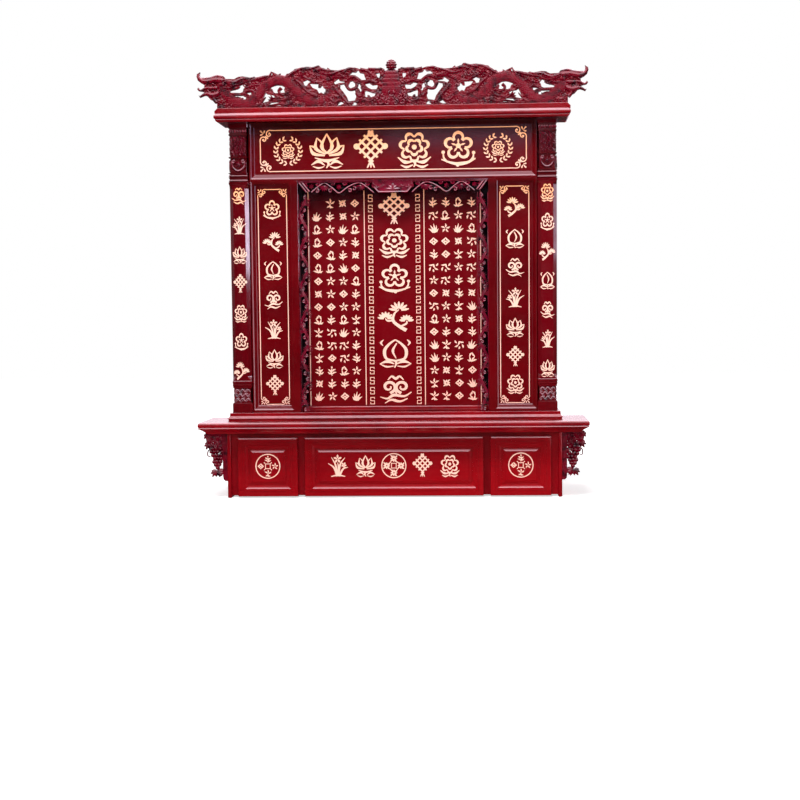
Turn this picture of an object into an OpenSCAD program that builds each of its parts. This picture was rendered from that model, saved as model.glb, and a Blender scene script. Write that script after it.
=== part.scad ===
// Household shrine cabinet: a lacquered upper case with columns, couplet boards, a niche and a
// dragon cresting, standing on a side table with three drawers. Front faces -Y, back is at a wall.

/* [Table] */
// Width of the table top
table_w = 880; // [820:5:1060]
// Depth of the table top, from its front edge to the wall
table_d = 200; // [175:5:280]
// Thickness of the table top with its moulded edge
table_t = 26; // [20:1:36]

/* [Base] */
// Width over the two side panels
base_w = 762; // [700:2:800]
// Height from the floor to the underside of the table top
base_h = 149; // [130:1:190]
// How far the side panels' front edges stand behind the table's front edge
base_set = 42; // [28:1:60]
// How far the side panels reach below the rest as feet
foot_h = 5; // [3:1:12]
// Thickness of a side panel
side_t = 9; // [6:1:14]
// Thickness of a drawer cheek, the post and board just inside a side panel
cheek_t = 17; // [12:1:24]
// Thickness of a partition between two drawers
partition_t = 18; // [12:1:24]
// How far the posts stand behind the side panels' front edges
post_set = 10; // [6:1:16]
// Depth of a post and of the rail above the drawers
post_d = 18; // [12:1:26]
// Height of the rail above the drawers
rail_h = 18; // [14:1:24]
// Thickness of the base's bottom board
bottom_t = 10; // [8:1:16]
// Thickness of the back boards
back_t = 8; // [5:1:12]

/* [Drawers] */
// Width of the middle drawer's opening
middle_w = 404; // [340:2:440]
// Thickness of a drawer front
front_t = 14; // [12:1:22]
// How far a front covers the post at each side
front_lap = 1.2; // [0.8:0.1:4]
// Gap between a front's top edge and the underside of the table top
front_gap = 11; // [7:1:16]
// How far a front's lower edge stands above the floor
front_foot = 4; // [3:1:6]
// Thickness of a drawer's sides and back
box_t = 10; // [8:1:14]
// Free height between a drawer's sides and the rail above them
rail_gap = 10; // [6:1:40]
// Thickness of a drawer's bottom
tray_t = 5; // [4:1:8]
// Running gap at each side of a drawer
side_gap = 5; // [5:0.5:8]
// Running gap below a drawer and behind its front
run_gap = 0.5; // [0.3:0.1:1]
// Free room behind a closed drawer
back_room = 12; // [8:1:30]
// Width of the plain border around a front's raised field
border_w = 18; // [14:1:26]
// Width of the groove around the raised field
groove_w = 8; // [5:1:14]
// How deep that groove is
groove_t = 3; // [2:0.5:5]

/* [Upper case] */
// Distance between the two column centres
column_span = 700; // [660:2:740]
// Height of a column
column_h = 661; // [560:1:800]
// Width of a column, a square post
column_w = 45; // [38:1:52]
// Width of the chamfers that make the column's shaft eight-sided
column_chamfer = 8; // [4:1:12]
// Height of a column's square foot
column_foot = 74; // [50:1:100]
// Height of a column's square head
column_head = 140; // [90:1:180]
// How far the case's front stands behind the table's front edge
case_set = 100; // [84:1:120]
// How far a column's centre stands behind the case's front
column_set = 8; // [4:1:14]
// How far the case's side boards stand in from the columns' outer faces
case_side_set = 8; // [2:1:14]
// Thickness of the boards of the case
board_t = 16; // [12:1:22]
// Thickness of the boards with couplets and of the frieze board
panel_t = 18; // [14:1:24]
// Height of the frieze board
frieze_h = 132; // [100:1:160]
// How deep the fields of the boards lie behind their frames
field_t = 7; // [4:1:9]
// Width of a board's frame at the column side, with half of its bevel
frame_outer = 8; // [5:1:14]
// Width of a couplet board's frame at the niche side, with half of its bevel
frame_inner = 20; // [14:1:28]
// Width of a board's frame at its top and bottom, with half of its bevel
frame_end = 9; // [6:1:16]
// Height of the plinth board that carries the case
plinth_h = 17; // [14:1:30]
// How far the plinth stands out from the columns' sides
plinth_side = 12; // [8:1:16]
// How far the plinth stands out from the case's front
plinth_front = 22; // [20:1:30]

/* [Niche] */
// Width of the niche opening
niche_w = 434; // [380:2:460]
// Depth from the case's front to the back board
niche_d = 50; // [44:1:66]
// Thickness of the niche's side boards
cheek_board = 14; // [10:1:20]
// Thickness of the niche's back board
text_board_t = 12; // [9:1:16]
// Height of the carved valance
valance_h = 31; // [26:1:50]
// Width of a carved side strip
side_strip_w = 25; // [18:1:34]
// Thickness of the carved valance and strips
carving_t = 9; // [6:1:12]
// How far the carvings stand behind the case's front
carving_set = 4; // [3:1:10]
// Height of the sill in front of the back board
sill_h = 11; // [8:1:18]
// Depth of the sill
sill_d = 10; // [6:1:16]

/* [Cornice] */
// Height of the cornice board
cornice_h = 20; // [16:1:30]
// How far the cornice stands out from the columns' sides
cornice_side = 30; // [20:1:36]
// How far the cornice stands out from the case's front
cornice_front = 26; // [24:1:40]

/* [Cresting] */
// Height of the rail that the carvings stand on
crest_rail_h = 12; // [8:1:18]
// Depth of that rail
crest_rail_d = 22; // [18:1:30]
// Thickness of the carved dragons
dragon_t = 18; // [12:1:24]
// How far a dragon's snout reaches past the end of its rail
dragon_out = 39; // [10:1:60]
// Height of a dragon above its rail
dragon_h = 91; // [76:1:110]
// Height of the middle finial
finial_h = 103; // [86:1:124]
// Width of the middle finial
finial_w = 72; // [60:1:86]

/* [Brackets] */
// How far a grape bracket stands out from the side panel
bracket_w = 50; // [40:1:54]
// Height of a grape bracket
bracket_h = 110; // [80:1:130]
// Thickness of a grape bracket
bracket_t = 16; // [12:1:24]
// How far a grape bracket stands behind the side panel's front edge
bracket_set = 4; // [0:1:20]

/* [Hidden] */
$fn = 64;

LACQUER = "#7d0a1c";
DARK_LACQUER = "#56060f";
PLAIN_WOOD = "#b98a5a";

// Places along Y: the table's front edge and the wall are at equal distances from the origin.
wall_y = table_d / 2;
table_y = -table_d / 2;
side_front_y = table_y + base_set;
post_y = side_front_y + post_set;
base_back_y = wall_y - back_t;
case_y = table_y + case_set;
column_y = case_y + column_set;
column_back_y = column_y + column_w / 2;
text_y = case_y + niche_d;

// Places along Z.
table_z = base_h + table_t;
plinth_z = table_z + plinth_h;
case_top = plinth_z + column_h;
frieze_z = case_top - frieze_h;
cornice_top = case_top + cornice_h;
crest_z = cornice_top + crest_rail_h;

// Places along X, on the right-hand side.
panel_x = base_w / 2 - side_t;
cheek_x = panel_x - cheek_t;
partition_x = middle_w / 2;
column_x = column_span / 2;
board_x = column_x - column_w / 2;
post_x = column_x + column_w / 2;
niche_x = niche_w / 2;
case_side_x = post_x - case_side_set;
plinth_x = post_x + plinth_side;
cornice_x = post_x + cornice_side;
dragon_x = finial_w / 2;
snout_x = cornice_x + dragon_out;

// A box between two corners.
module block(low, high) {
    translate(low) cube(high - low);
}

// Draws its children on the right-hand side, or mirrored on the left-hand side.
module on_side(side) {
    if (side == "left") mirror([1, 0, 0]) children();
    else children();
}

// ---- Base -------------------------------------------------------------------------------

module side_panel(side) color(LACQUER) on_side(side) {
    block([panel_x, side_front_y, 0], [base_w / 2, wall_y, base_h]);
}

// A board behind a post: the post runs down in front of the bottom board.
module upright(x0, x1) {
    block([x0, post_y, foot_h], [x1, post_y + post_d, base_h]);
    block([x0, post_y + post_d, foot_h + bottom_t], [x1, base_back_y, base_h]);
}

module drawer_cheek(side) color(DARK_LACQUER) on_side(side) upright(cheek_x, panel_x);

module partition(side) color(DARK_LACQUER) on_side(side) {
    upright(partition_x, partition_x + partition_t);
}

module base_bottom() color(DARK_LACQUER) {
    block([-panel_x, post_y + post_d, foot_h], [panel_x, base_back_y, foot_h + bottom_t]);
}

module base_back() color(DARK_LACQUER) {
    block([-panel_x, base_back_y, foot_h], [panel_x, wall_y, base_h]);
}

module front_rail() color(DARK_LACQUER) {
    rail_z = base_h - rail_h;
    for (side = ["left", "right"]) on_side(side) {
        block([partition_x + partition_t, post_y, rail_z], [cheek_x, post_y + post_d, base_h]);
    }
    block([-partition_x, post_y, rail_z], [partition_x, post_y + post_d, base_h]);
}

// ---- Drawers ----------------------------------------------------------------------------

front_back_y = post_y - run_gap;
front_z = front_foot;
front_top = base_h - front_gap;
box_z = foot_h + bottom_t + run_gap;
box_back_y = base_back_y - back_room;
box_h = base_h - rail_h - rail_gap - box_z;

// A drawer's opening as [low x, high x].
function opening(place) =
    place == "middle" ? [-partition_x, partition_x]
    : place == "right" ? [partition_x + partition_t, cheek_x]
    : [-cheek_x, -partition_x - partition_t];

module drawer_front(place) color(LACQUER) {
    x0 = opening(place)[0] - front_lap;
    x1 = opening(place)[1] + front_lap;
    front_y = front_back_y - front_t;
    difference() {
        block([x0, front_y, front_z], [x1, front_back_y, front_top]);
        // The groove around the raised field.
        difference() {
            block([x0 + border_w, front_y - 1, front_z + border_w],
                [x1 - border_w, front_y + groove_t, front_top - border_w]);
            block([x0 + border_w + groove_w, front_y - 2, front_z + border_w + groove_w],
                [x1 - border_w - groove_w, front_y + groove_t + 1, front_top - border_w - groove_w]);
        }
    }
}

module drawer_sides(place) color(PLAIN_WOOD) {
    x0 = opening(place)[0] + side_gap;
    x1 = opening(place)[1] - side_gap;
    for (x = [x0, x1 - box_t]) {
        block([x, front_back_y, box_z], [x + box_t, box_back_y, box_z + box_h]);
    }
}

module drawer_back(place) color(PLAIN_WOOD) {
    x0 = opening(place)[0] + side_gap + box_t;
    x1 = opening(place)[1] - side_gap - box_t;
    block([x0, box_back_y - box_t, box_z], [x1, box_back_y, box_z + box_h]);
}

module drawer_bottom(place) color(PLAIN_WOOD) {
    x0 = opening(place)[0] + side_gap + box_t;
    x1 = opening(place)[1] - side_gap - box_t;
    block([x0, front_back_y, box_z], [x1, box_back_y - box_t, box_z + tray_t]);
}

// ---- Table top --------------------------------------------------------------------------

// The moulded edge as [height above the underside, how far it steps in at front and sides].
table_edge = [[0, 17], [0.3, 11], [0.42, 5], [0.54, 2], [0.62, 0]];

module table_top() color(LACQUER) {
    steps = len(table_edge);
    for (i = [0:steps - 1]) {
        low = base_h + table_edge[i][0] * table_t;
        high = i + 1 < steps ? base_h + table_edge[i + 1][0] * table_t : table_z;
        inset = table_edge[i][1];
        block([-table_w / 2 + inset, table_y + inset, low], [table_w / 2 - inset, wall_y, high]);
    }
}

// The outline of a carved bracket, a hanging bunch of grapes on a strip, as [distance from the
// side panel as a share of the width, depth below the table top as a share of the height].
bracket_outline = [
    [0, 0], [0.22, 0], [0.22, 0.13], [0.54, 0.13], [0.54, 0], [0.64, 0], [0.64, 0.11], [0.85, 0.1],
    [1, 0.17], [0.92, 0.26], [0.92, 0.36], [0.72, 0.47], [0.62, 0.6], [0.52, 0.69], [0.6, 0.76],
    [0.46, 0.84], [0.34, 0.92], [0.22, 0.95], [0.14, 1], [0, 1]];

// Openings carved through a bracket, in the same shares.
bracket_openings = [
    [[0.26, 0.23], [0.32, 0.27], [0.26, 0.31]],
    [[0.26, 0.57], [0.33, 0.61], [0.26, 0.66]]];

function bracket_points(shares) =
    [for (share = shares) [share[0] * bracket_w, -share[1] * bracket_h]];

module grape_bracket(side) color(LACQUER) on_side(side) {
    translate([base_w / 2, side_front_y + bracket_set + bracket_t, base_h]) rotate([90, 0, 0])
    linear_extrude(bracket_t) difference() {
        polygon(bracket_points(bracket_outline));
        for (outline = bracket_openings) polygon(bracket_points(outline));
    }
}

// ---- Upper case -------------------------------------------------------------------------

module plinth_board() color(LACQUER) {
    lower_h = 0.4 * plinth_h;
    waist_h = 0.55 * plinth_h;
    step = 2;
    front = case_y - plinth_front;
    block([-plinth_x + step, front + step, table_z], [plinth_x - step, wall_y, table_z + lower_h]);
    block([-plinth_x + 3 * step, front + 3 * step, table_z + lower_h],
        [plinth_x - 3 * step, wall_y, table_z + waist_h]);
    block([-plinth_x, front, table_z + waist_h], [plinth_x, wall_y, plinth_z]);
}

module case_side(side) color(LACQUER) on_side(side) {
    block([case_side_x - board_t, column_back_y, plinth_z], [case_side_x, base_back_y, case_top]);
}

module case_back() color(DARK_LACQUER) {
    block([-case_side_x, base_back_y, plinth_z], [case_side_x, wall_y, case_top]);
}

// A square post whose shaft, between its foot and its head, is cut to eight sides.
module column(side) color(LACQUER) on_side(side) {
    half = column_w / 2;
    flat = half - column_chamfer;
    translate([column_x, column_y, plinth_z]) {
        translate([-half, -half, 0]) cube([column_w, column_w, column_foot]);
        linear_extrude(column_h) polygon([
            [-half, -flat], [-flat, -half], [flat, -half], [half, -flat],
            [half, flat], [flat, half], [-flat, half], [-half, flat]]);
        translate([-half, -half, column_h - column_head]) cube([column_w, column_w, column_head]);
    }
}

// A board with a sunk field: the frame stands proud of the field.
module framed_board(x0, x1, z0, z1, frame_left, frame_right, frame_z) {
    difference() {
        block([x0, case_y, z0], [x1, case_y + panel_t, z1]);
        block([x0 + frame_left, case_y - 1, z0 + frame_z],
            [x1 - frame_right, case_y + field_t, z1 - frame_z]);
    }
}

module couplet_board(side) color(LACQUER) on_side(side) {
    framed_board(niche_x, board_x, plinth_z, frieze_z, frame_inner, frame_outer, frame_end);
}

module frieze_board() color(LACQUER) {
    framed_board(-board_x, board_x, frieze_z, case_top, frame_outer, frame_outer, frame_end);
}

module niche_side(side) color(LACQUER) on_side(side) {
    block([niche_x, case_y + panel_t, plinth_z], [niche_x + cheek_board, text_y, frieze_z]);
}

module niche_ceiling() color(DARK_LACQUER) {
    block([-niche_x - cheek_board, case_y + panel_t, frieze_z],
        [niche_x + cheek_board, text_y, frieze_z + board_t]);
}

module niche_back_board() color(LACQUER) {
    block([-niche_x - cheek_board, text_y, plinth_z],
        [niche_x + cheek_board, text_y + text_board_t, frieze_z + board_t]);
}

module niche_sill() color(LACQUER) {
    block([-niche_x, text_y - sill_d, plinth_z], [niche_x, text_y, plinth_z + sill_h]);
}

// The valance hangs in the head of the niche, with a waved lower edge.
module valance() color(LACQUER) {
    waves = 8;
    pitch = (niche_w - 2) / waves;
    depth = 6;
    top = frieze_z;
    translate([0, case_y + carving_set + carving_t, 0]) rotate([90, 0, 0])
    linear_extrude(carving_t) difference() {
        translate([-niche_x, top - valance_h]) square([niche_w, valance_h]);
        for (i = [0:waves - 1]) {
            translate([-niche_x + 1 + (i + 0.5) * pitch, top - valance_h])
            scale([pitch / 3 / depth, 1]) circle(depth, $fn = 32);
        }
    }
}

module side_strip(side) color(LACQUER) on_side(side) {
    low = plinth_z;
    high = frieze_z - valance_h;
    block([niche_x - side_strip_w, case_y + carving_set, low],
        [niche_x, case_y + carving_set + carving_t, high]);
}

// ---- Cornice and cresting ---------------------------------------------------------------

module cornice() color(LACQUER) {
    front = case_y - cornice_front;
    band_h = 0.62 * cornice_h;
    step = 4;
    block([-cornice_x + step, front + step, case_top], [cornice_x - step, wall_y, cornice_top - band_h]);
    block([-cornice_x, front, cornice_top - band_h], [cornice_x, wall_y, cornice_top]);
}

module cresting_rail() color(LACQUER) {
    chamfer = 7;
    translate([0, case_y + crest_rail_d / 2, cornice_top]) rotate([90, 0, 0])
    linear_extrude(crest_rail_d) polygon([
        [-cornice_x, 0], [cornice_x, 0], [cornice_x, crest_rail_h / 3],
        [cornice_x - chamfer, crest_rail_h], [-cornice_x + chamfer, crest_rail_h],
        [-cornice_x, crest_rail_h / 3]]);
}

// The finial's half width as [share of its height, share of its half width], up to the neck.
finial_edge = [[0, 1], [0.27, 1], [0.3, 0.9], [0.39, 0.9], [0.42, 0.78], [0.53, 0.68],
    [0.64, 0.52], [0.7, 0.36], [0.76, 0.33]];

// The finial's edge in millimetres, moved outwards by a gap.
function finial_points(gap) =
    [for (point = finial_edge) [point[1] * finial_w / 2 + gap, point[0] * finial_h]];

// The outline of a carved dragon from its foot near the snout round to the finial, as
// [share of the way from the finial's foot to the snout, share of its height].
dragon_outline = [
    [0.888, 0], [0.888, 0.15], [0.915, 0.21], [0.949, 0.31], [0.989, 0.32], [0.954, 0.42],
    [0.986, 0.41], [1, 0.51], [0.977, 0.57], [0.996, 0.73], [0.989, 0.87], [0.969, 0.75],
    [0.856, 0.81], [0.779, 0.67], [0.723, 0.76], [0.666, 0.71], [0.604, 0.77], [0.587, 0.87],
    [0.543, 0.78], [0.469, 0.84], [0.412, 0.96], [0.34, 0.93], [0.318, 1], [0.276, 0.88],
    [0.187, 0.86], [0.15, 0.93], [0.079, 0.87], [0.062, 0.91], [-0.012, 0.93], [-0.039, 0.9]];

// Openings in a dragon, each an outline in the same shares.
dragon_openings = [
    [[0.764, 0.56], [0.824, 0.39], [0.742, 0.36], [0.725, 0.45], [0.725, 0.56]],
    [[0.799, 0.3], [0.769, 0.21], [0.73, 0.18], [0.693, 0.33], [0.757, 0.31]],
    [[0.592, 0.34], [0.592, 0.48], [0.55, 0.53], [0.506, 0.47], [0.506, 0.33]],
    [[0.621, 0.33], [0.555, 0.27], [0.602, 0.11], [0.646, 0.1]],
    [[0.602, 0.04], [0.562, 0.12], [0.528, 0.04]],
    [[0.414, 0.04], [0.395, 0.16], [0.35, 0.04]],
    [[0.404, 0.67], [0.372, 0.47], [0.323, 0.32], [0.276, 0.3], [0.274, 0.55], [0.326, 0.66]],
    [[0.237, 0.57], [0.182, 0.56], [0.109, 0.4], [0.104, 0.12], [0.15, 0.12]],
    [[0.145, 0.8], [0.109, 0.86], [0.054, 0.63], [0.099, 0.65]],
    [[0.059, 0.4], [0.012, 0.29], [0.015, 0.15], [0.054, 0.21]]];

function dragon_points(shares) =
    [for (share = shares) [dragon_x + share[0] * (snout_x - dragon_x), share[1] * dragon_h]];

module dragon(side) color(LACQUER) on_side(side) {
    gap = 0.3;
    translate([0, case_y + dragon_t / 2, crest_z]) rotate([90, 0, 0])
    linear_extrude(dragon_t) difference() {
        polygon(concat(finial_points(gap), [for (i = [len(dragon_outline) - 1:-1:0])
            dragon_points(dragon_outline)[i]]));
        for (outline = dragon_openings) polygon(dragon_points(outline));
    }
}

// The finial between the dragons: a carved foot, a ribbed dome, a neck and a ball.
module finial() color(LACQUER) {
    ball_r = 0.12 * finial_h;
    neck_w = finial_edge[len(finial_edge) - 1][1] * finial_w;
    edge = finial_points(0);
    translate([0, case_y + dragon_t / 2, crest_z]) rotate([90, 0, 0]) linear_extrude(dragon_t) {
        polygon(concat(edge, [for (i = [len(edge) - 1:-1:0]) [-edge[i][0], edge[i][1]]]));
        translate([-neck_w / 2, 0.7 * finial_h]) square([neck_w, 0.3 * finial_h - 1.6 * ball_r]);
    }
    translate([0, case_y, crest_z + finial_h - ball_r]) sphere(ball_r);
}

side_panel("left");  // side_panel_left
side_panel("right");  // side_panel_right
drawer_cheek("left");  // drawer_cheek_left
drawer_cheek("right");  // drawer_cheek_right
partition("left");  // partition_left
partition("right");  // partition_right
base_bottom();
base_back();
front_rail();
drawer_front("left");  // drawer_left_front
drawer_sides("left");  // drawer_left_sides
drawer_back("left");  // drawer_left_back
drawer_bottom("left");  // drawer_left_bottom
drawer_front("middle");  // drawer_middle_front
drawer_sides("middle");  // drawer_middle_sides
drawer_back("middle");  // drawer_middle_back
drawer_bottom("middle");  // drawer_middle_bottom
drawer_front("right");  // drawer_right_front
drawer_sides("right");  // drawer_right_sides
drawer_back("right");  // drawer_right_back
drawer_bottom("right");  // drawer_right_bottom
table_top();
grape_bracket("left");  // grape_bracket_left
grape_bracket("right");  // grape_bracket_right
plinth_board();
case_side("left");  // case_side_left
case_side("right");  // case_side_right
case_back();
column("left");  // column_left
column("right");  // column_right
couplet_board("left");  // couplet_board_left
couplet_board("right");  // couplet_board_right
frieze_board();
niche_side("left");  // niche_side_left
niche_side("right");  // niche_side_right
niche_ceiling();
niche_back_board();
niche_sill();
valance();
side_strip("left");  // side_strip_left
side_strip("right");  // side_strip_right
cornice();
cresting_rail();
dragon("left");  // dragon_left
dragon("right");  // dragon_right
finial();
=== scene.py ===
"""Household shrine cabinet: the finished look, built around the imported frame."""

import logging
import math
import random
from collections.abc import Callable, Sequence
from dataclasses import dataclass, field
from enum import Enum
from functools import cache
from typing import Protocol

import bmesh
import bpy
from bmesh.types import BMEdge, BMesh, BMFace, BMVert
from bpy.types import ID, Material, Mesh, Node, NodeSocket as Socket, Object, World
from mathutils import Matrix, Vector


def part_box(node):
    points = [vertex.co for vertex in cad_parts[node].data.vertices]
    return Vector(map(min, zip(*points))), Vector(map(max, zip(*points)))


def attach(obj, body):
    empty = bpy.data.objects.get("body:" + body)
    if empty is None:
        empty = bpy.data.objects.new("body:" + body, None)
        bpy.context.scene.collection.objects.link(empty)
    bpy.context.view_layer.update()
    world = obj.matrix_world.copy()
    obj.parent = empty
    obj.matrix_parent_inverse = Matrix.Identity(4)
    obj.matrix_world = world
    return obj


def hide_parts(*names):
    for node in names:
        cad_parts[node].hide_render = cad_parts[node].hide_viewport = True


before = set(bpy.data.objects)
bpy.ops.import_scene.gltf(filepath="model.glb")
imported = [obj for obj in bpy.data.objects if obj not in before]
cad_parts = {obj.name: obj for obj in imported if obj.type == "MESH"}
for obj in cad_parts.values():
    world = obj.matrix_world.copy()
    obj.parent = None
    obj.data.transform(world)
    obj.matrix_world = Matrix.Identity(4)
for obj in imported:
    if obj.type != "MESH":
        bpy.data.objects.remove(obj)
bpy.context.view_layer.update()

MM = 0.001
CABINET = "cabinet"
DRAWERS = ("drawer_left", "drawer_middle", "drawer_right")

# How forms are made, in millimetres. A form puts its mesh by at so many working faces.
WORKING_FACES = 300
EASED_EDGE = 2.4
MERGED = 0.002
THINNEST = 0.05
NEARLY_UPRIGHT = 0.01

# Gilt paint in millimetres, each layer a step thicker than the last, and the cell that ornaments fill.
PAINT = 0.4
PAINT_STEP = 0.013
PAINT_STEPS = 0.11
PAINT_GAP = 0.05
CELL = 100

# Scales of the lacquer's patterns, in features for each metre.
CLOUDS, GLOSS_PATCHES, FIBRES, PORES, ORANGE_PEEL = 9, 40, 160, 230, 1900

Point = tuple[float, float]
Spot = tuple[float, float, float]
Edge = tuple[float, float, float, float]
Ring = tuple[float, float, float, float, float]
Tint = tuple[int, int, int]
Points = tuple[Point, ...]
Spots = tuple[Spot, ...]
Numbers = tuple[float, ...]

UPRIGHT = Matrix.Identity(4)
FACING_FRONT = Matrix.Rotation(math.pi / 2, 4, "X")
FACING_BACK = Matrix.Diagonal((1, 1, -1, 1))

log = logging.getLogger("shrine")


class Side(Enum):
    """The two halves of the cabinet, with the sign of their X."""

    LEFT = -1
    RIGHT = 1

    @property
    def word(self) -> str:
        """The side's name as the nodes write it."""
        return self.name.lower()

    @property
    def mirror(self) -> Matrix:
        """The turn that makes this half of the right half."""
        return Matrix.Diagonal((self.value, 1, 1, 1))

    def own(self, edge: Edge) -> Edge:
        """Returns this side's copy of a rectangle on the right."""
        u0, u1, v0, v1 = edge
        return (*sorted((self.value * u0, self.value * u1)), v0, v1)


# ---- Shapes ----


@dataclass(frozen=True)
class Box:
    """A node's box in millimetres."""

    low: Vector
    high: Vector

    @classmethod
    def of(cls, node: str) -> "Box":
        """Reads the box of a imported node.

        Args:
            node: The node's name.

        Returns:
            Its box at rest.
        """
        low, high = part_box(node)
        return cls(low / MM, high / MM)

    @property
    def edge(self) -> Edge:
        """Its left, right, lower and upper edge as the front shows it."""
        return self.low.x, self.high.x, self.low.z, self.high.z

    @property
    def middle(self) -> Vector:
        """Its centre."""
        return (self.low + self.high) / 2


def smooth(points: Sequence[Sequence[float]], steps: int = 4) -> list[Vector]:
    """Runs a Catmull-Rom curve through points.

    Args:
        points: The points that the curve passes.
        steps: Stations for each stretch between two points.

    Returns:
        The curve's stations.
    """
    knots = [Vector(p) for p in points]
    knots = [knots[0] * 2 - knots[1], *knots, knots[-1] * 2 - knots[-2]]
    made: list[Vector] = []
    for a, b, c, d in zip(knots, knots[1:], knots[2:], knots[3:]):
        for t in (step / steps for step in range(steps)):
            made.append(0.5 * (2 * b + (c - a) * t + (2 * a - 5 * b + 4 * c - d) * t**2
                               + (3 * b - a - 3 * c + d) * t**3))
    return [*made, knots[-2]]


def spread(sizes: Sequence[float], count: int) -> Sequence[float]:
    """Spreads three sizes, at the start, middle and end, along a row of stations.

    Args:
        sizes: The three sizes, or one for each station already.
        count: How many stations there are.

    Returns:
        One size for each station.
    """
    if len(sizes) == count:
        return sizes
    start, middle, end = sizes
    shares = [2 * i / (count - 1) for i in range(count)]
    return [start + (middle - start) * t if t < 1 else middle + (end - middle) * (t - 1) for t in shares]


def pairs(*numbers: float) -> Points:
    """Puts a row of numbers together as points."""
    return tuple(zip(numbers[::2], numbers[1::2]))


def polar(centre: Point, reach: float, angle: float) -> Point:
    """Returns the point at a reach from a centre, at an angle in radians."""
    return centre[0] + reach * math.cos(angle), centre[1] + reach * math.sin(angle)


def spiral(centre: Point, outer: float, inner: float, turns: float, start: float,
           steps: int = 10) -> list[Point]:
    """Winds a flat spiral inwards.

    Args:
        centre: Its centre.
        outer: Radius where it starts.
        inner: Radius where it ends.
        turns: How many turns it makes, negative for clockwise.
        start: Angle of its first point in degrees.
        steps: Stretches along it.

    Returns:
        Its points.
    """
    shares = [i / steps for i in range(steps + 1)]
    return [polar(centre, outer + (inner - outer) * t, math.radians(start) + turns * math.tau * t)
            for t in shares]


def ahead(path: Sequence[Vector], i: int) -> Vector:
    """Returns the way that a path runs at a station."""
    return (path[min(i + 1, len(path) - 1)] - path[max(i - 1, 0)]).normalized()


def only(items: Sequence[object], kind: type) -> list:
    """Picks the items of one kind."""
    return [item for item in items if isinstance(item, kind)]


def insets(edge: Edge, steps: Sequence[Point]) -> list[Ring]:
    """Turns a panel's section, as (inset from the edge, height towards the viewer), into nested rings."""
    u0, u1, v0, v1 = edge
    return [(u0 + d, u1 - d, v0 + d, v1 - d, w) for d, w in steps]


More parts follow.
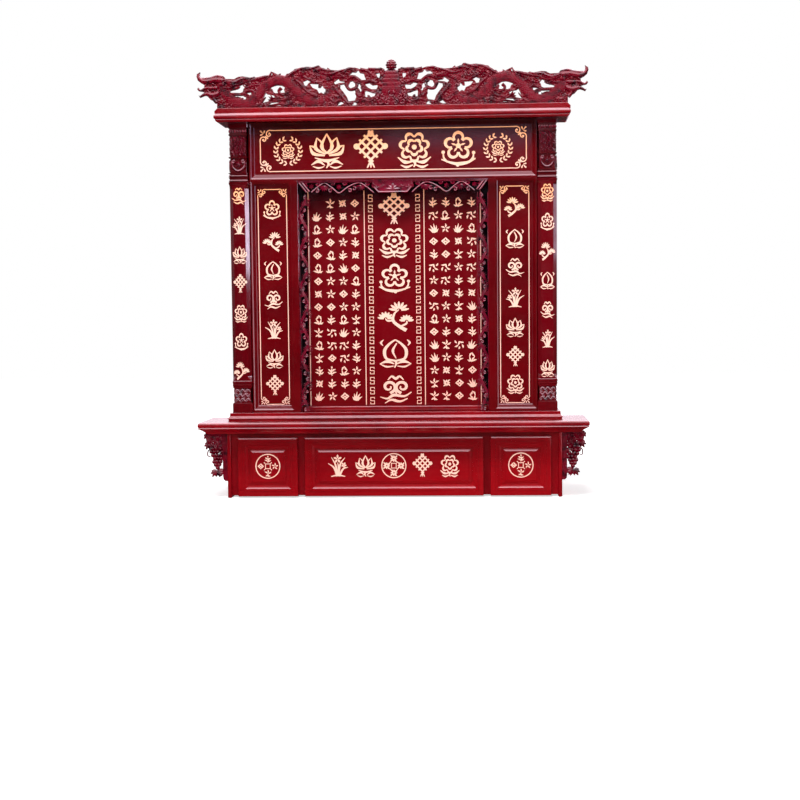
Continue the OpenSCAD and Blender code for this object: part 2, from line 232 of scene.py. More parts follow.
class Form:
    """A mesh in millimetres that grows by bmesh operators."""

    def __init__(self) -> None:
        """Starts an empty mesh."""
        self.bm = bmesh.new()
        self.done: list[Mesh] = []
        self.lift = 0.0

    def gathered(self) -> BMesh:
        """Brings back all that was put by, and returns the whole mesh."""
        for mesh in self.done:
            self.bm.from_mesh(mesh)
            bpy.data.meshes.remove(mesh)
        self.done = []
        return self.bm

    def spare(self) -> None:
        """Puts a large working mesh by, because an operator's cost grows with the mesh it works on."""
        if len(self.bm.faces) > WORKING_FACES:
            self.done.append(bpy.data.meshes.new("put_by"))
            self.bm.to_mesh(self.done[-1])
            self.bm.clear()

    def turn(self, verts: Sequence[BMVert], matrix: Matrix) -> None:
        """Moves or turns vertices by a matrix."""
        bmesh.ops.transform(self.bm, matrix=matrix, verts=list(verts))

    def ring(self, sides: int, radius: float = 1.0, centre: Point = (0, 0), filled: bool = True) -> list:
        """Adds a flat ring of corners.

        Args:
            sides: How many corners there are.
            radius: Its radius.
            centre: Its centre.
            filled: Whether it has a face.

        Returns:
            Its vertices.
        """
        made = bmesh.ops.create_circle(self.bm, cap_ends=filled, radius=radius, segments=sides)["verts"]
        bmesh.ops.translate(self.bm, verts=made, vec=(*centre, 0))
        return list(made)

    def block(self, low: Sequence[float], high: Sequence[float], bevel: float = 0.8,
              segments: int = 2) -> None:
        """Adds a box with eased edges.

        Args:
            low: Its lowest corner.
            high: Its highest corner.
            bevel: Width of the eased edges.
            segments: Steps across an eased edge.
        """
        low, high = Vector(low), Vector(high)
        made = bmesh.ops.create_cube(self.bm, size=1.0)["verts"]
        self.turn(made, Matrix.LocRotScale((low + high) / 2, None, high - low))
        if bevel > 0:
            edges = list({edge for vert in made for edge in vert.link_edges})
            bmesh.ops.bevel(self.bm, geom=edges, offset=bevel, segments=segments, profile=0.5,
                            affect="EDGES", material=-1)

    def _grow(self, sides: int, levels: Sequence[object], fit: Callable[[Vector, object], Vector]) -> list:
        """Lofts a capped ring from level to level.

        Args:
            sides: Corners of the ring.
            levels: What each level is made from.
            fit: Gives a corner's place on a level from its last place.

        Returns:
            All the vertices made.
        """
        made = self.ring(sides)
        self.turn(made, Matrix.Rotation(math.pi / sides, 4, "Z"))
        face = made[0].link_faces[0]
        for vert in made:
            vert.co = fit(vert.co, levels[0])
        for level in levels[1:]:
            face = self._grown(face)
            for vert in face.verts:
                vert.co = fit(vert.co, level)
            made.extend(face.verts)
        return made

    def _grown(self, face: BMFace) -> BMFace:
        """Extrudes a face and returns the new one at its end."""
        grown = bmesh.ops.extrude_face_region(self.bm, geom=[face, *face.edges, *face.verts])["geom"]
        return only(grown, BMFace)[0]

    def stack(self, rings: Sequence[Ring], facing: Matrix = UPRIGHT) -> None:
        """Lofts rectangles, each (u0, u1, v0, v1, w), into one closed board.

        Args:
            rings: The rectangles from the first to the last.
            facing: Turns u, v, w into the cabinet's X, Y, Z.
        """
        u0, u1, v0, v1, _ = rings[0]
        centre = Vector(((u0 + u1) / 2, (v0 + v1) / 2, 0))

        def fit(co: Vector, ring: Ring) -> Vector:
            """Puts a corner on its rectangle."""
            left, right, low, high, w = ring
            return Vector((right if co.x > 0 else left, high if co.y > 0 else low, w)) - centre

        self.turn(self._grow(4, rings, fit), facing @ Matrix.Translation(centre))

    def post(self, levels: Sequence[Spot], place: Vector) -> None:
        """Adds a square post whose corners are chamfered by a changing amount.

        Args:
            levels: The post as (height, half width, chamfer), from the bottom up.
            place: The middle of its foot.
        """

        def fit(co: Vector, level: Spot) -> Vector:
            """Puts a corner on its eight-sided level."""
            height, half, chamfer = level
            x, y = (half, half - chamfer) if abs(co.x) > abs(co.y) else (half - chamfer, half)
            return Vector((math.copysign(x, co.x), math.copysign(y, co.y), height))

        self.turn(self._grow(8, levels, fit), Matrix.Translation(place))

    def lathe(self, profile: Sequence[Point], place: Vector, sides: int = 32,
              facing: Matrix = UPRIGHT) -> None:
        """Turns a profile round an axis.

        Args:
            profile: The profile as (radius, height).
            place: Where the axis starts.
            sides: Steps round the axis.
            facing: Turns the axis from Z.
        """
        spun = Form()
        verts = [spun.bm.verts.new((r, 0, z)) for r, z in profile]
        edges = [spun.bm.edges.new(pair) for pair in zip(verts, verts[1:])]
        bmesh.ops.spin(spun.bm, geom=verts + edges, cent=(0, 0, 0), axis=(0, 0, 1), dvec=(0, 0, 0),
                       angle=math.tau, steps=sides, use_merge=True, use_duplicate=False)
        self.add(spun, Matrix.Translation(place) @ facing)

    def plate(self, outline: Sequence[Point], w0: float, w1: float,
              holes: Sequence[Sequence[Point]] = ()) -> None:
        """Saws a flat plate with openings out of a board, in the u, v plane.

        Args:
            outline: Its outline.
            w0: Height of its back.
            w1: Height of its face.
            holes: Outlines of its openings.
        """
        edges = []
        for loop in (outline, *holes):
            verts = [self.bm.verts.new((u, v, w0)) for u, v in loop]
            edges += [self.bm.edges.new((a, b)) for a, b in zip(verts, verts[1:] + verts[:1])]
        filled = bmesh.ops.triangle_fill(self.bm, use_beauty=True, edges=edges, normal=(0, 0, 1))["geom"]
        self._raise(only(filled, BMFace), w1 - w0)

    def _raise(self, faces: Sequence[BMFace], height: float) -> None:
        """Gives flat faces a thickness along w."""
        grown = bmesh.ops.extrude_face_region(self.bm, geom=list(faces))["geom"]
        bmesh.ops.translate(self.bm, verts=only(grown, BMVert), vec=(0, 0, height))

    def _paint(self, faces: Sequence[BMFace], thick: float) -> None:
        """Gives flat faces the thickness of paint, each a little more than the last so that none flicker."""
        self._raise(faces, thick + self.lift)
        self.lift = (self.lift + PAINT_STEP) % PAINT_STEPS

    def tube(self, path: Sequence[Sequence[float]], radii: Sequence[float], sides: int = 6,
             flat: float = 1.0) -> None:
        """Sweeps a round or flattened section along a path.

        Args:
            path: The stations as (u, v, w).
            radii: Its radius at the start, middle and end, or at each station.
            sides: Corners of the section.
            flat: Height of the section as a share of its width.
        """
        stations = [Vector((*p, 0.0)) if len(p) == 2 else Vector(p) for p in path]
        frames = []
        for i, (here, radius) in enumerate(zip(stations, spread(radii, len(stations)))):
            on = ahead(stations, i)
            across = on.cross(Vector((0, 0, 1)))
            if across.length < NEARLY_UPRIGHT:
                across = Vector((1, 0, 0))
            across.normalize()
            up = across.cross(on) * flat
            r = max(radius, THINNEST)
            frames.append(Matrix.Translation(here) @ Matrix((across * r, up * r, on)).transposed().to_4x4())
        verts = self.ring(sides)
        face = verts[0].link_faces[0]
        self.turn(verts, frames[0])
        for last, now in zip(frames, frames[1:]):
            face = self._grown(face)
            self.turn(face.verts, now @ last.inverted())
        self.spare()

    def curl(self, spot: Spot, size: Point, turns: float, start: float, radii: Spot, sides: int = 6,
             steps: int = 12, flat: float = 1.0) -> None:
        """Carves a rib that winds inwards.

        Args:
            spot: Its centre.
            size: How far out it starts and ends.
            turns: How many turns it makes, negative for clockwise.
            start: Angle of its first point in degrees.
            radii: Its radius at the start, middle and end.
            sides: Corners of its section.
            steps: Stretches along it.
            flat: Height of its section as a share of its width.
        """
        u, v, w = spot
        self.tube([(*p, w) for p in spiral((u, v), *size, turns, start, steps)], radii, sides, flat)

    def bead(self, place: Sequence[float], size: Sequence[float], detail: int = 1,
             angle: float = 0.0) -> None:
        """Adds a rounded lump, such as a grape, a petal or an eye.

        Args:
            place: Its centre.
            size: Its half sizes along u, v and w.
            detail: How often its faces are divided.
            angle: Turn about w in degrees.
        """
        made = bmesh.ops.create_icosphere(self.bm, subdivisions=detail, radius=1.0)["verts"]
        turned = Matrix.Rotation(math.radians(angle), 4, "Z") @ Matrix.Diagonal((*size, 1))
        self.turn(made, Matrix.Translation(place) @ turned)
        self.spare()

    def leaf(self, base: Sequence[float], angle: float, length: float, width: float, height: float,
             curl: float = 0.0, sides: int = 5) -> None:
        """Adds a carved leaf or petal that lies on the face.

        Args:
            base: Where it grows from.
            angle: Its direction in degrees.
            length: Its length.
            width: Its width.
            height: How far it stands up.
            curl: How far its tip bends to the left, as a share of its length.
            sides: Corners of its section.
        """
        a = math.radians(angle)
        on, left = Vector((math.cos(a), math.sin(a), 0)), Vector((-math.sin(a), math.cos(a), 0))
        start = Vector(base)
        path = [start + on * length * t + left * curl * length * t * t for t in (0, 0.3, 0.6, 0.85, 1)]
        self.tube(path, [width * s / 2 for s in (0.35, 0.95, 0.85, 0.45, 0.05)], sides,
                  flat=2 * height / max(width, 0.01))

    def brush(self, path: Sequence[Point], widths: Sequence[float], thick: float = PAINT) -> None:
        """Draws a flat ribbon in the u, v plane, as a stroke of changing width.

        Args:
            path: The stroke's stations.
            widths: Its width at the start, middle and end, or at each station.
            thick: How thick the paint is.
        """
        stations = [Vector((p[0], p[1], 0)) for p in path]
        borders = []
        for i, (here, width) in enumerate(zip(stations, spread(widths, len(stations)))):
            across = ahead(stations, i).cross(Vector((0, 0, -1))) * width / 2
            borders.append((here + across, here - across))
        left, right = (self.bm.verts.new(co) for co in borders[0])
        edge = self.bm.edges.new((left, right))
        faces = []
        for a, b in borders[1:]:
            grown = bmesh.ops.extrude_edge_only(self.bm, edges=[edge])["geom"]
            ends = sorted(only(grown, BMVert), key=lambda vert: (vert.co - left.co).length)
            edge = next(item for item in only(grown, BMEdge) if set(item.verts) == set(ends))
            faces += only(grown, BMFace)
            left, right = ends
            left.co, right.co = a, b
        self._paint(faces, thick)
        self.spare()

    def disc(self, centre: Point, radius: float, sides: int = 12, thick: float = PAINT) -> None:
        """Draws a flat round spot.

        Args:
            centre: Its centre.
            radius: Its radius.
            sides: Corners of its edge.
            thick: How thick the paint is.
        """
        self._paint(self.ring(sides, radius, centre)[0].link_faces[:], thick)

    def hoop(self, centre: Point, radius: float, width: float, sides: int = 36, thick: float = PAINT) -> None:
        """Draws a flat ring.

        Args:
            centre: Its centre.
            radius: Its middle radius.
            width: Its width.
            sides: Corners of its edge.
            thick: How thick the paint is.
        """
        edges = []
        for r in (radius - width / 2, radius + width / 2):
            edges += {edge for vert in self.ring(sides, r, centre, filled=False) for edge in vert.link_edges}
        self._paint(bmesh.ops.bridge_loops(self.bm, edges=edges)["faces"], thick)

    def add_both(self, relief: "Form", matrix: Matrix = UPRIGHT) -> None:
        """Adds a relief to the front and to the back."""
        for turn in (UPRIGHT, FACING_BACK):
            self.add(relief, matrix @ turn)

    def add(self, other: "Form", matrix: Matrix) -> None:
        """Adds a copy of another form.

        Args:
            other: What is copied.
            matrix: Where the copy goes.
        """
        mesh = bpy.data.meshes.new("copy")
        other.gathered().to_mesh(mesh)
        mesh.transform(matrix)
        if matrix.determinant() < 0:
            mesh.flip_normals()
        self.done.append(mesh)

    def placed(self, name: str, finish: Material, slot: str, *nodes: str, turn: Matrix = UPRIGHT,
               crease: float = 32.0, body: str = CABINET) -> None:
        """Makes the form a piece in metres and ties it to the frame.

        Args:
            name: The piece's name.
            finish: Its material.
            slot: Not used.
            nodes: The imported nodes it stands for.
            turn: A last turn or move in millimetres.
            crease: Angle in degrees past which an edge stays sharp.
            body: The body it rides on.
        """
        self.gathered()
        bmesh.ops.remove_doubles(self.bm, verts=self.bm.verts[:], dist=MERGED)
        self.bm.transform(Matrix.Scale(MM, 4) @ turn)
        bmesh.ops.recalc_face_normals(self.bm, faces=self.bm.faces[:])
        limit = math.radians(crease)
        for face in self.bm.faces:
            face.smooth = True
        for edge in self.bm.edges:
            edge.smooth = len(edge.link_faces) == 2 and edge.calc_face_angle(math.pi) < limit
        mesh = bpy.data.meshes.new(name)
        self.bm.to_mesh(mesh)
        self.bm.free()
        mesh.materials.append(finish)
        piece = linked(name, mesh)
        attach(piece, body)
        if nodes:
            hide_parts(*nodes)
        log.info("%s: %d faces", name, len(mesh.polygons))


def linked(name: str, data: ID, matrix: Matrix = UPRIGHT) -> Object:
    """Makes an object and links it to the scene.

    Args:
        name: Its name.
        data: Its mesh, lamp or camera.
        matrix: Its place and turn.

    Returns:
        The object.
    """
    made = bpy.data.objects.new(name, data)
    made.matrix_world = matrix
    bpy.context.scene.collection.objects.link(made)
    return made


# ---- Finishes ----


def from_screen(red: int, green: int, blue: int) -> Numbers:
    """Turns a screen colour of 0 to 255 into Blender's linear colour."""
    linear = [((c / 255 + 0.055) / 1.055) ** 2.4 if c > 10 else c / 255 / 12.92 for c in (red, green, blue)]
    return (*linear, 1.0)


class Wiring:
    """The nodes of a material or the world, joined as they are added."""

    def __init__(self, owner: Material | World) -> None:
        """Opens the owner's node tree."""
        owner.use_nodes = True
        self.tree = owner.node_tree

    def add(self, kind: str, *inputs: object, **choices: str) -> Node:
        """Adds a node.

        Args:
            kind: Its type.
            inputs: A socket, a value or None for each of its inputs in turn.
            choices: Its settings by name.

        Returns:
            The node.
        """
        node = self.tree.nodes.new(f"ShaderNode{kind}")
        for name, choice in choices.items():
            setattr(node, name, choice)
        for socket, given in zip(node.inputs, inputs):
            if isinstance(given, Socket):
                self.tree.links.new(given, socket)
            elif given is not None:
                socket.default_value = given
        return node

    def maths(self, operation: str, *inputs: object) -> Socket:
        """Adds a sum of sockets or numbers and returns its result."""
        return self.add("Math", *inputs, operation=operation).outputs[0]

    def ranged(self, value: Socket, low: float, high: float, start: float = 0.35,
               end: float = 0.65) -> Socket:
        """Spreads a value between low and high as it goes from start to end."""
        return self.add("MapRange", value, start, end, low, high).outputs[0]

    def blend(self, value: Socket, stops: Sequence[tuple[float, tuple]]) -> Socket:
        """Colours a value by a row of stops, each a place and a colour.

        Args:
            value: The value.
            stops: The stops in order.

        Returns:
            The colour.
        """
        node = self.add("ValToRGB", value)
        ramp = node.color_ramp.elements
        while len(ramp) < len(stops):
            ramp.new(1.0)
        for element, (place, colour) in zip(ramp, stops):
            element.position, element.color = place, colour
        return node.outputs[0]


class Recipe(Wiring):
    """A material being wired: its shader, and the few patterns that the finishes share."""

    def __init__(self, name: str) -> None:
        """Starts a material with one Principled shader.

        Args:
            name: Its name.
        """
        self.material = bpy.data.materials.new(name)
        super().__init__(self.material)
        self.shader = self.tree.nodes["Principled BSDF"]
        self.coords = self.add("TexCoord").outputs["Object"]
        self.surface: Socket | None = None

    def axis(self, name: str) -> Socket:
        """Returns the place along X, Y or Z."""
        return self.add("SeparateXYZ", self.coords).outputs[name]

    def noise(self, scale: float, detail: float = 3.0, stretch: Spot = (1, 1, 1)) -> Socket:
        """Returns a noise pattern of a scale for each metre, stretched on each axis."""
        mapped = self.add("Mapping", self.coords, None, None, stretch).outputs[0]
        return self.add("TexNoise", mapped, None, scale, detail).outputs[0]

    def cells(self, scale: float) -> Socket:
        """Returns the distance from the middles of rounded cells."""
        mapped = self.add("Mapping", self.coords).outputs[0]
        return self.add("TexVoronoi", mapped, None, scale).outputs["Distance"]

    def tinted(self, value: Socket, *stops: tuple[float, Tint]) -> Socket:
        """Colours a pattern by stops, each a place and a screen colour."""
        return self.blend(value, [(place, from_screen(*tint)) for place, tint in stops])

    def rise(self, pattern: Socket, strength: float, depth: float) -> None:
        """Adds a pattern to the surface's relief, with a strength and a depth in millimetres."""
        self.surface = self.add("Bump", strength, depth * MM, None, pattern, self.surface).outputs[0]

    def finished(self, colour: Socket, roughness: Socket, **numbers: float) -> Material:
        """Wires the shader.

        Args:
            colour: The surface's colour.
            roughness: Its roughness.
            numbers: The shader's plain numbers, by the names of their sockets with underscores.

        Returns:
            The material.
        """
        for name, source in (("Base Color", colour), ("Roughness", roughness), ("Normal", self.surface)):
            self.tree.links.new(source, self.shader.inputs[name])
        for name, number in numbers.items():
            self.shader.inputs[name.replace("_", " ")].default_value = number
        return self.material


@dataclass(frozen=True)
class Lacquer:
    """Deep red gloss lacquer over smooth hardwood, optionally with painted shade that darkens it by height.
    """

    name: str = "red_lacquer"
    deep: Tint = (76, 0, 7)
    bright: Tint = (136, 4, 16)
    shine: Point = (0.10, 0.17)
    specular: float = 0.4
    coat: float = 0.3
    grain: Spot = (1.0, 1.0, 0.12)
    relief: float = 0.22
    # Painted shade: stops of (height in metres, tone) that darken the colour near the tops of boards and
    # posts, where the overhangs above cast shade.
    shading: Points = ()

    def made(self) -> Material:
        """Wires the lacquer.

        Returns:
            The material.
        """
        mix = Recipe(self.name)
        cloudy = mix.ranged(mix.noise(CLOUDS, 4, self.grain), 0.1, 0.6, 0.3, 0.7)
        both = mix.maths("MULTIPLY_ADD", mix.noise(FIBRES, 4, self.grain), 0.35, cloudy)
        colour = mix.tinted(both, (0.12, self.deep), (0.75, self.bright))
        # Paints the shade into the colour by multiplying it with a tone that changes with height.
        if self.shading:
            stops = [(place, (tone, tone, tone * 0.9, 1.0)) for place, tone in self.shading]
            shade_tones = mix.blend(mix.axis("Z"), stops)
            painted_shade_mix = mix.add("Mix", 1.0, *[None] * 5, colour, shade_tones, data_type="RGBA", blend_type="MULTIPLY")
            colour = painted_shade_mix.outputs["Result"]
        mix.rise(mix.noise(PORES, 2, self.grain), self.relief, 0.12)
        mix.rise(mix.noise(ORANGE_PEEL, 1), self.relief, 0.03)
        return mix.finished(colour, mix.ranged(mix.noise(GLOSS_PATCHES, 5), *self.shine),
                            Specular_IOR_Level=self.specular, Coat_Weight=self.coat, Coat_Roughness=0.06)


@dataclass(frozen=True)
class CarvedLacquer:
    """The same lacquer over chisel work, darker in random patches."""

    name: str = "carved_lacquer"
    deep: Tint = (30, 0, 8)
    bright: Tint = (104, 2, 23)
    scales: float = 0.0
    cuts: float = 420.0
    shine: Point = (0.1, 0.24)
    coat: float = 0.12
    specular: float = 0.2

    def made(self) -> Material:
        """Wires the carved lacquer.

        Returns:
            The material.
        """
        mix = Recipe(self.name)
        chisel = mix.noise(self.cuts, 2)
        dark_patches = mix.ranged(mix.noise(70, 4), 0.0, 1.0, 0.3, 0.6)
        mix.rise(chisel, 0.7, 0.9)
        if self.scales:
            mix.rise(mix.cells(self.scales), 1.0, 3.0)
        colour = mix.tinted(dark_patches, (0.0, self.deep), (0.8, self.bright))
        return mix.finished(colour, mix.ranged(chisel, *self.shine), Specular_IOR_Level=self.specular,
                            Coat_Weight=self.coat, Coat_Roughness=0.08)


@dataclass(frozen=True)
class NicheLacquer:
    """The board at the niche's back: red in its field, with painted shade that turns it nearly black behind
    the carved strips and darkens it towards the top under the valance.
    """

    name: str = "niche_board_lacquer"
    deep: Tint = (10, 0, 3)
    bright: Tint = (112, 2, 12)
    half_width: float = 0.201
    top: float = 0.7

    def made(self) -> Material:
        """Wires the board's lacquer.

        Returns:
            The material.
        """
        mix = Recipe(self.name)
        # Painted shade: the colour goes nearly black past the strips' inner edges and fades darker towards
        # the board's top.
        aside = mix.maths("ABSOLUTE", mix.axis("X"))
        across = mix.ranged(aside, 1.0, 0.0, self.half_width - 0.002, self.half_width + 0.003)
        above = mix.ranged(mix.axis("Z"), 1.0, 0.0, self.top - 0.085, self.top + 0.005)
        cloudy = mix.ranged(mix.noise(CLOUDS, 4, (1, 1, 0.3)), 0.72, 1.0, 0.3, 0.7)
        shade = mix.maths("MULTIPLY", mix.maths("MULTIPLY", across, above), cloudy)
        mix.rise(mix.noise(PORES, 2, (1, 1, 0.12)), 0.15, 0.1)
        return mix.finished(mix.tinted(shade, (0.0, self.deep), (1.0, self.bright)),
                            mix.ranged(mix.noise(GLOSS_PATCHES, 5), 0.1, 0.16),
                            Specular_IOR_Level=0.4, Coat_Weight=0.3, Coat_Roughness=0.06)


@dataclass(frozen=True)
class Gilt:
    """Pale gold paint, warmer towards the top of the cabinet."""

    name: str = "gilt"
    pale: Tint = (247, 201, 182)
    warm: Tint = (247, 172, 118)

    def made(self) -> Material:
        """Wires the gilt.

        Returns:
            The material.
        """
        mix = Recipe(self.name)
        height = mix.maths("ADD", mix.axis("Z"), mix.ranged(mix.noise(120, 4), -0.02, 0.02, 0.3, 0.7))
        colour = mix.tinted(height, (0.63, self.pale), (0.7, self.warm), (0.74, self.pale), (0.83, self.warm))
        mix.rise(mix.noise(900, 2), 0.3, 0.05)
        rough = mix.ranged(mix.noise(300, 3), 0.34, 0.55)
        return mix.finished(colour, rough, Metallic=0.1, Specular_IOR_Level=0.4)


@dataclass(frozen=True)
class PlainWood:
    """Unvarnished drawer board with its grain along one axis."""

    name: str = "drawer_board"
    pale: Tint = (205, 166, 120)
    dark: Tint = (150, 106, 68)
    grain: Spot = (26, 1.6, 26)

    def made(self) -> Material:
        """Wires the wood.

        Returns:
            The material.
        """
        mix = Recipe(self.name)
        rings = mix.noise(7, 6, self.grain)
        mix.rise(rings, 0.4, 0.3)
        colour = mix.tinted(rings, (0.35, self.dark), (0.62, self.pale))
        return mix.finished(colour, mix.ranged(rings, 0.5, 0.72), Specular_IOR_Level=0.3)


class Finish(Protocol):
    """Anything that makes a material."""

    def made(self) -> Material:
        """Wires the material and returns it."""


def made_once(finish: Finish) -> Material:
    """Returns the field that holds a finish's material."""
    return field(default_factory=finish.made)


@dataclass
class Finishes:
    """Every finish on the cabinet, each made once."""

    red: Material = made_once(Lacquer())
    head: Material = made_once(CarvedLacquer(
        "head_lacquer", (26, 0, 8), (94, 2, 26), shine=(0.08, 0.2), coat=0.6))
    # Painted shade: the post lacquer darkens the column heads under the cornice.
    post: Material = made_once(Lacquer(
        "post_lacquer", (52, 0, 6), (96, 2, 13), shading=pairs(0.70, 1.0, 0.715, 0.8, 0.86, 0.35)))
    # Painted shade: the panel lacquer darkens towards the tops of the tall boards and of the long board,
    # under the frieze and the cornice.
    field_red: Material = made_once(Lacquer(
        "panel_lacquer", (72, 0, 5), (100, 2, 10), (0.10, 0.16), grain=(0.3, 1.0, 1.0), relief=0.15,
        shading=pairs(0.62, 1.0, 0.705, 0.45, 0.722, 1.0, 0.765, 1.0, 0.81, 0.5, 0.85, 0.2)))
    front: Material = made_once(Lacquer("drawer_lacquer", (98, 0, 7), (146, 4, 15), grain=(0.12, 1, 1)))
    # Painted shade: near-black lacquer for the niche's sides and ceiling, which stand in the recess's shade.
    shade: Material = made_once(Lacquer("niche_shade_lacquer", (7, 0, 2), (24, 0, 6), (0.45, 0.6), 0.12, 0.0))
    carved: Material = made_once(CarvedLacquer())
    scaled: Material = made_once(CarvedLacquer("scaled_lacquer", (34, 0, 8), (108, 2, 23)))
    strip: Material = made_once(CarvedLacquer(
        "strip_lacquer", (38, 0, 12), (118, 6, 37), shine=(0.08, 0.18), coat=1.0))
    niche: Material = made_once(NicheLacquer())
    cut: Material = made_once(CarvedLacquer("cut_ground", (36, 0, 6), (104, 2, 18), 190.0))
    gilt: Material = made_once(Gilt())
    board: Material = made_once(PlainWood())

    def dress(self, node: str, finish: Material) -> None:
        """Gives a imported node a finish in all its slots.

        Args:
            node: The node's name.
            finish: Its material.
        """
        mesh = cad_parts[node].data
        if not mesh.materials:
            mesh.materials.append(finish)
        for i in range(len(mesh.materials)):
            mesh.materials[i] = finish


def on_face(y: float) -> Matrix:
    """Returns the turn that lays u, v, w on an upright face that looks to the front at y."""
    return Matrix.Translation((0, y, 0)) @ FACING_FRONT


# ---- Gilt work ----


class Motif(Enum):
    """The painted ornaments, all of them plants, clouds and knots of tradition.

    Each is a row of strokes in a cell of 100 by 100. A stroke is its widths at the start, middle and end,
    then its points. A stroke with a negative first width is painted with its mirror image.
    """

    LOTUS = (
        (-5, 9, 3, 0, -8, -15, 12, 0, 47), (-4, 10, 2, -4, -10, -31, 6, -28, 36),
        (-2, 6, 3, -28, 36, -14, 22, -10, 4), (-4, 10, 2, -6, -14, -38, -8, -48, 14),
        (-2, 6, 3, -48, 14, -36, 10, -26, 0), (2, 9, 2, -34, -20, 0, -29, 34, -20),
        (8, 6, 3, 0, -28, 4, -38, -2, -49), (-2, 9, 2, -6, -42, -24, -30, -44, -40),
        (-2, 5, 2, -8, -45, -24, -49, -40, -44),
    )
    PLUM = (
        (4, 10, 3, -47, -28, -22, -40, 10, -42, 47, -30), (5, 5, 3, -30, -37, -40, -26, -42, -14),
        (5, 5, 3, 30, -38, 40, -26, 42, -12),
    )
    CLOUD = (
        (3, 9, 3, -24, 34, -12, 46, 0, 38, 12, 46, 24, 34),
        (3, 10, 2, -48, -8, -26, -22, 6, -18, 26, -30, 48, -24),
        (3, 9, 2, -36, -30, -12, -40, 14, -34, 34, -46), (5, 8, 3, -2, 18, 2, 2, -2, -14),
    )
    KNOT = ()
    PINE = (
        (12, 9, 3, -34, -49, -14, -36, 6, -16, 2, 8, -12, 22), (6, 6, 3, 4, -14, 22, -16, 30, -8),
        (6, 6, 3, -16, -36, -34, -26, -36, -16),
    )
    ORCHID = (
        (9, 8, 2, -5, -47, -20, -8, -48, 12), (9, 8, 2, -3, -47, -12, 4, -32, 40),
        (9, 8, 2, 2, -47, 10, 6, 34, 38), (9, 8, 2, 5, -47, 24, -14, 48, -6),
        (9, 8, 2, 0, -47, 2, -8, -2, 16),
    )
    PEONY = (
        (-3, 10, 2, -4, -34, -26, -36, -46, -22), (7, 6, 3, 0, -34, 2, -42, -2, -50),
        (-3, 7, 2, -4, -44, -22, -50, -38, -44),
    )
    PEACH = (
        (-6, 10, 4, 0, -26, -28, -18, -33, 10, -18, 32, 0, 46), (3, 8, 2, 4, 34, -8, 8, 2, -18),
        (8, 6, 4, 0, -24, 2, -36, -3, -49), (-3, 10, 2, -4, -36, -26, -28, -48, -36),
        (-2, 6, 3, -48, -36, -28, -46, -6, -44), (-2, 7, 2, -38, 26, -44, 36, -36, 46),
    )


def star(*rings: tuple[float, float, int, int]) -> Numbers:
    """Returns the ends of rays as a row of numbers, from rings of (inner, outer, first angle, step)."""
    return tuple(number for inner, outer, first, step in rings for turn in range(first, first + 360, step)
                 for reach in (inner, outer) for number in polar((0, 0), reach, math.radians(turn)))


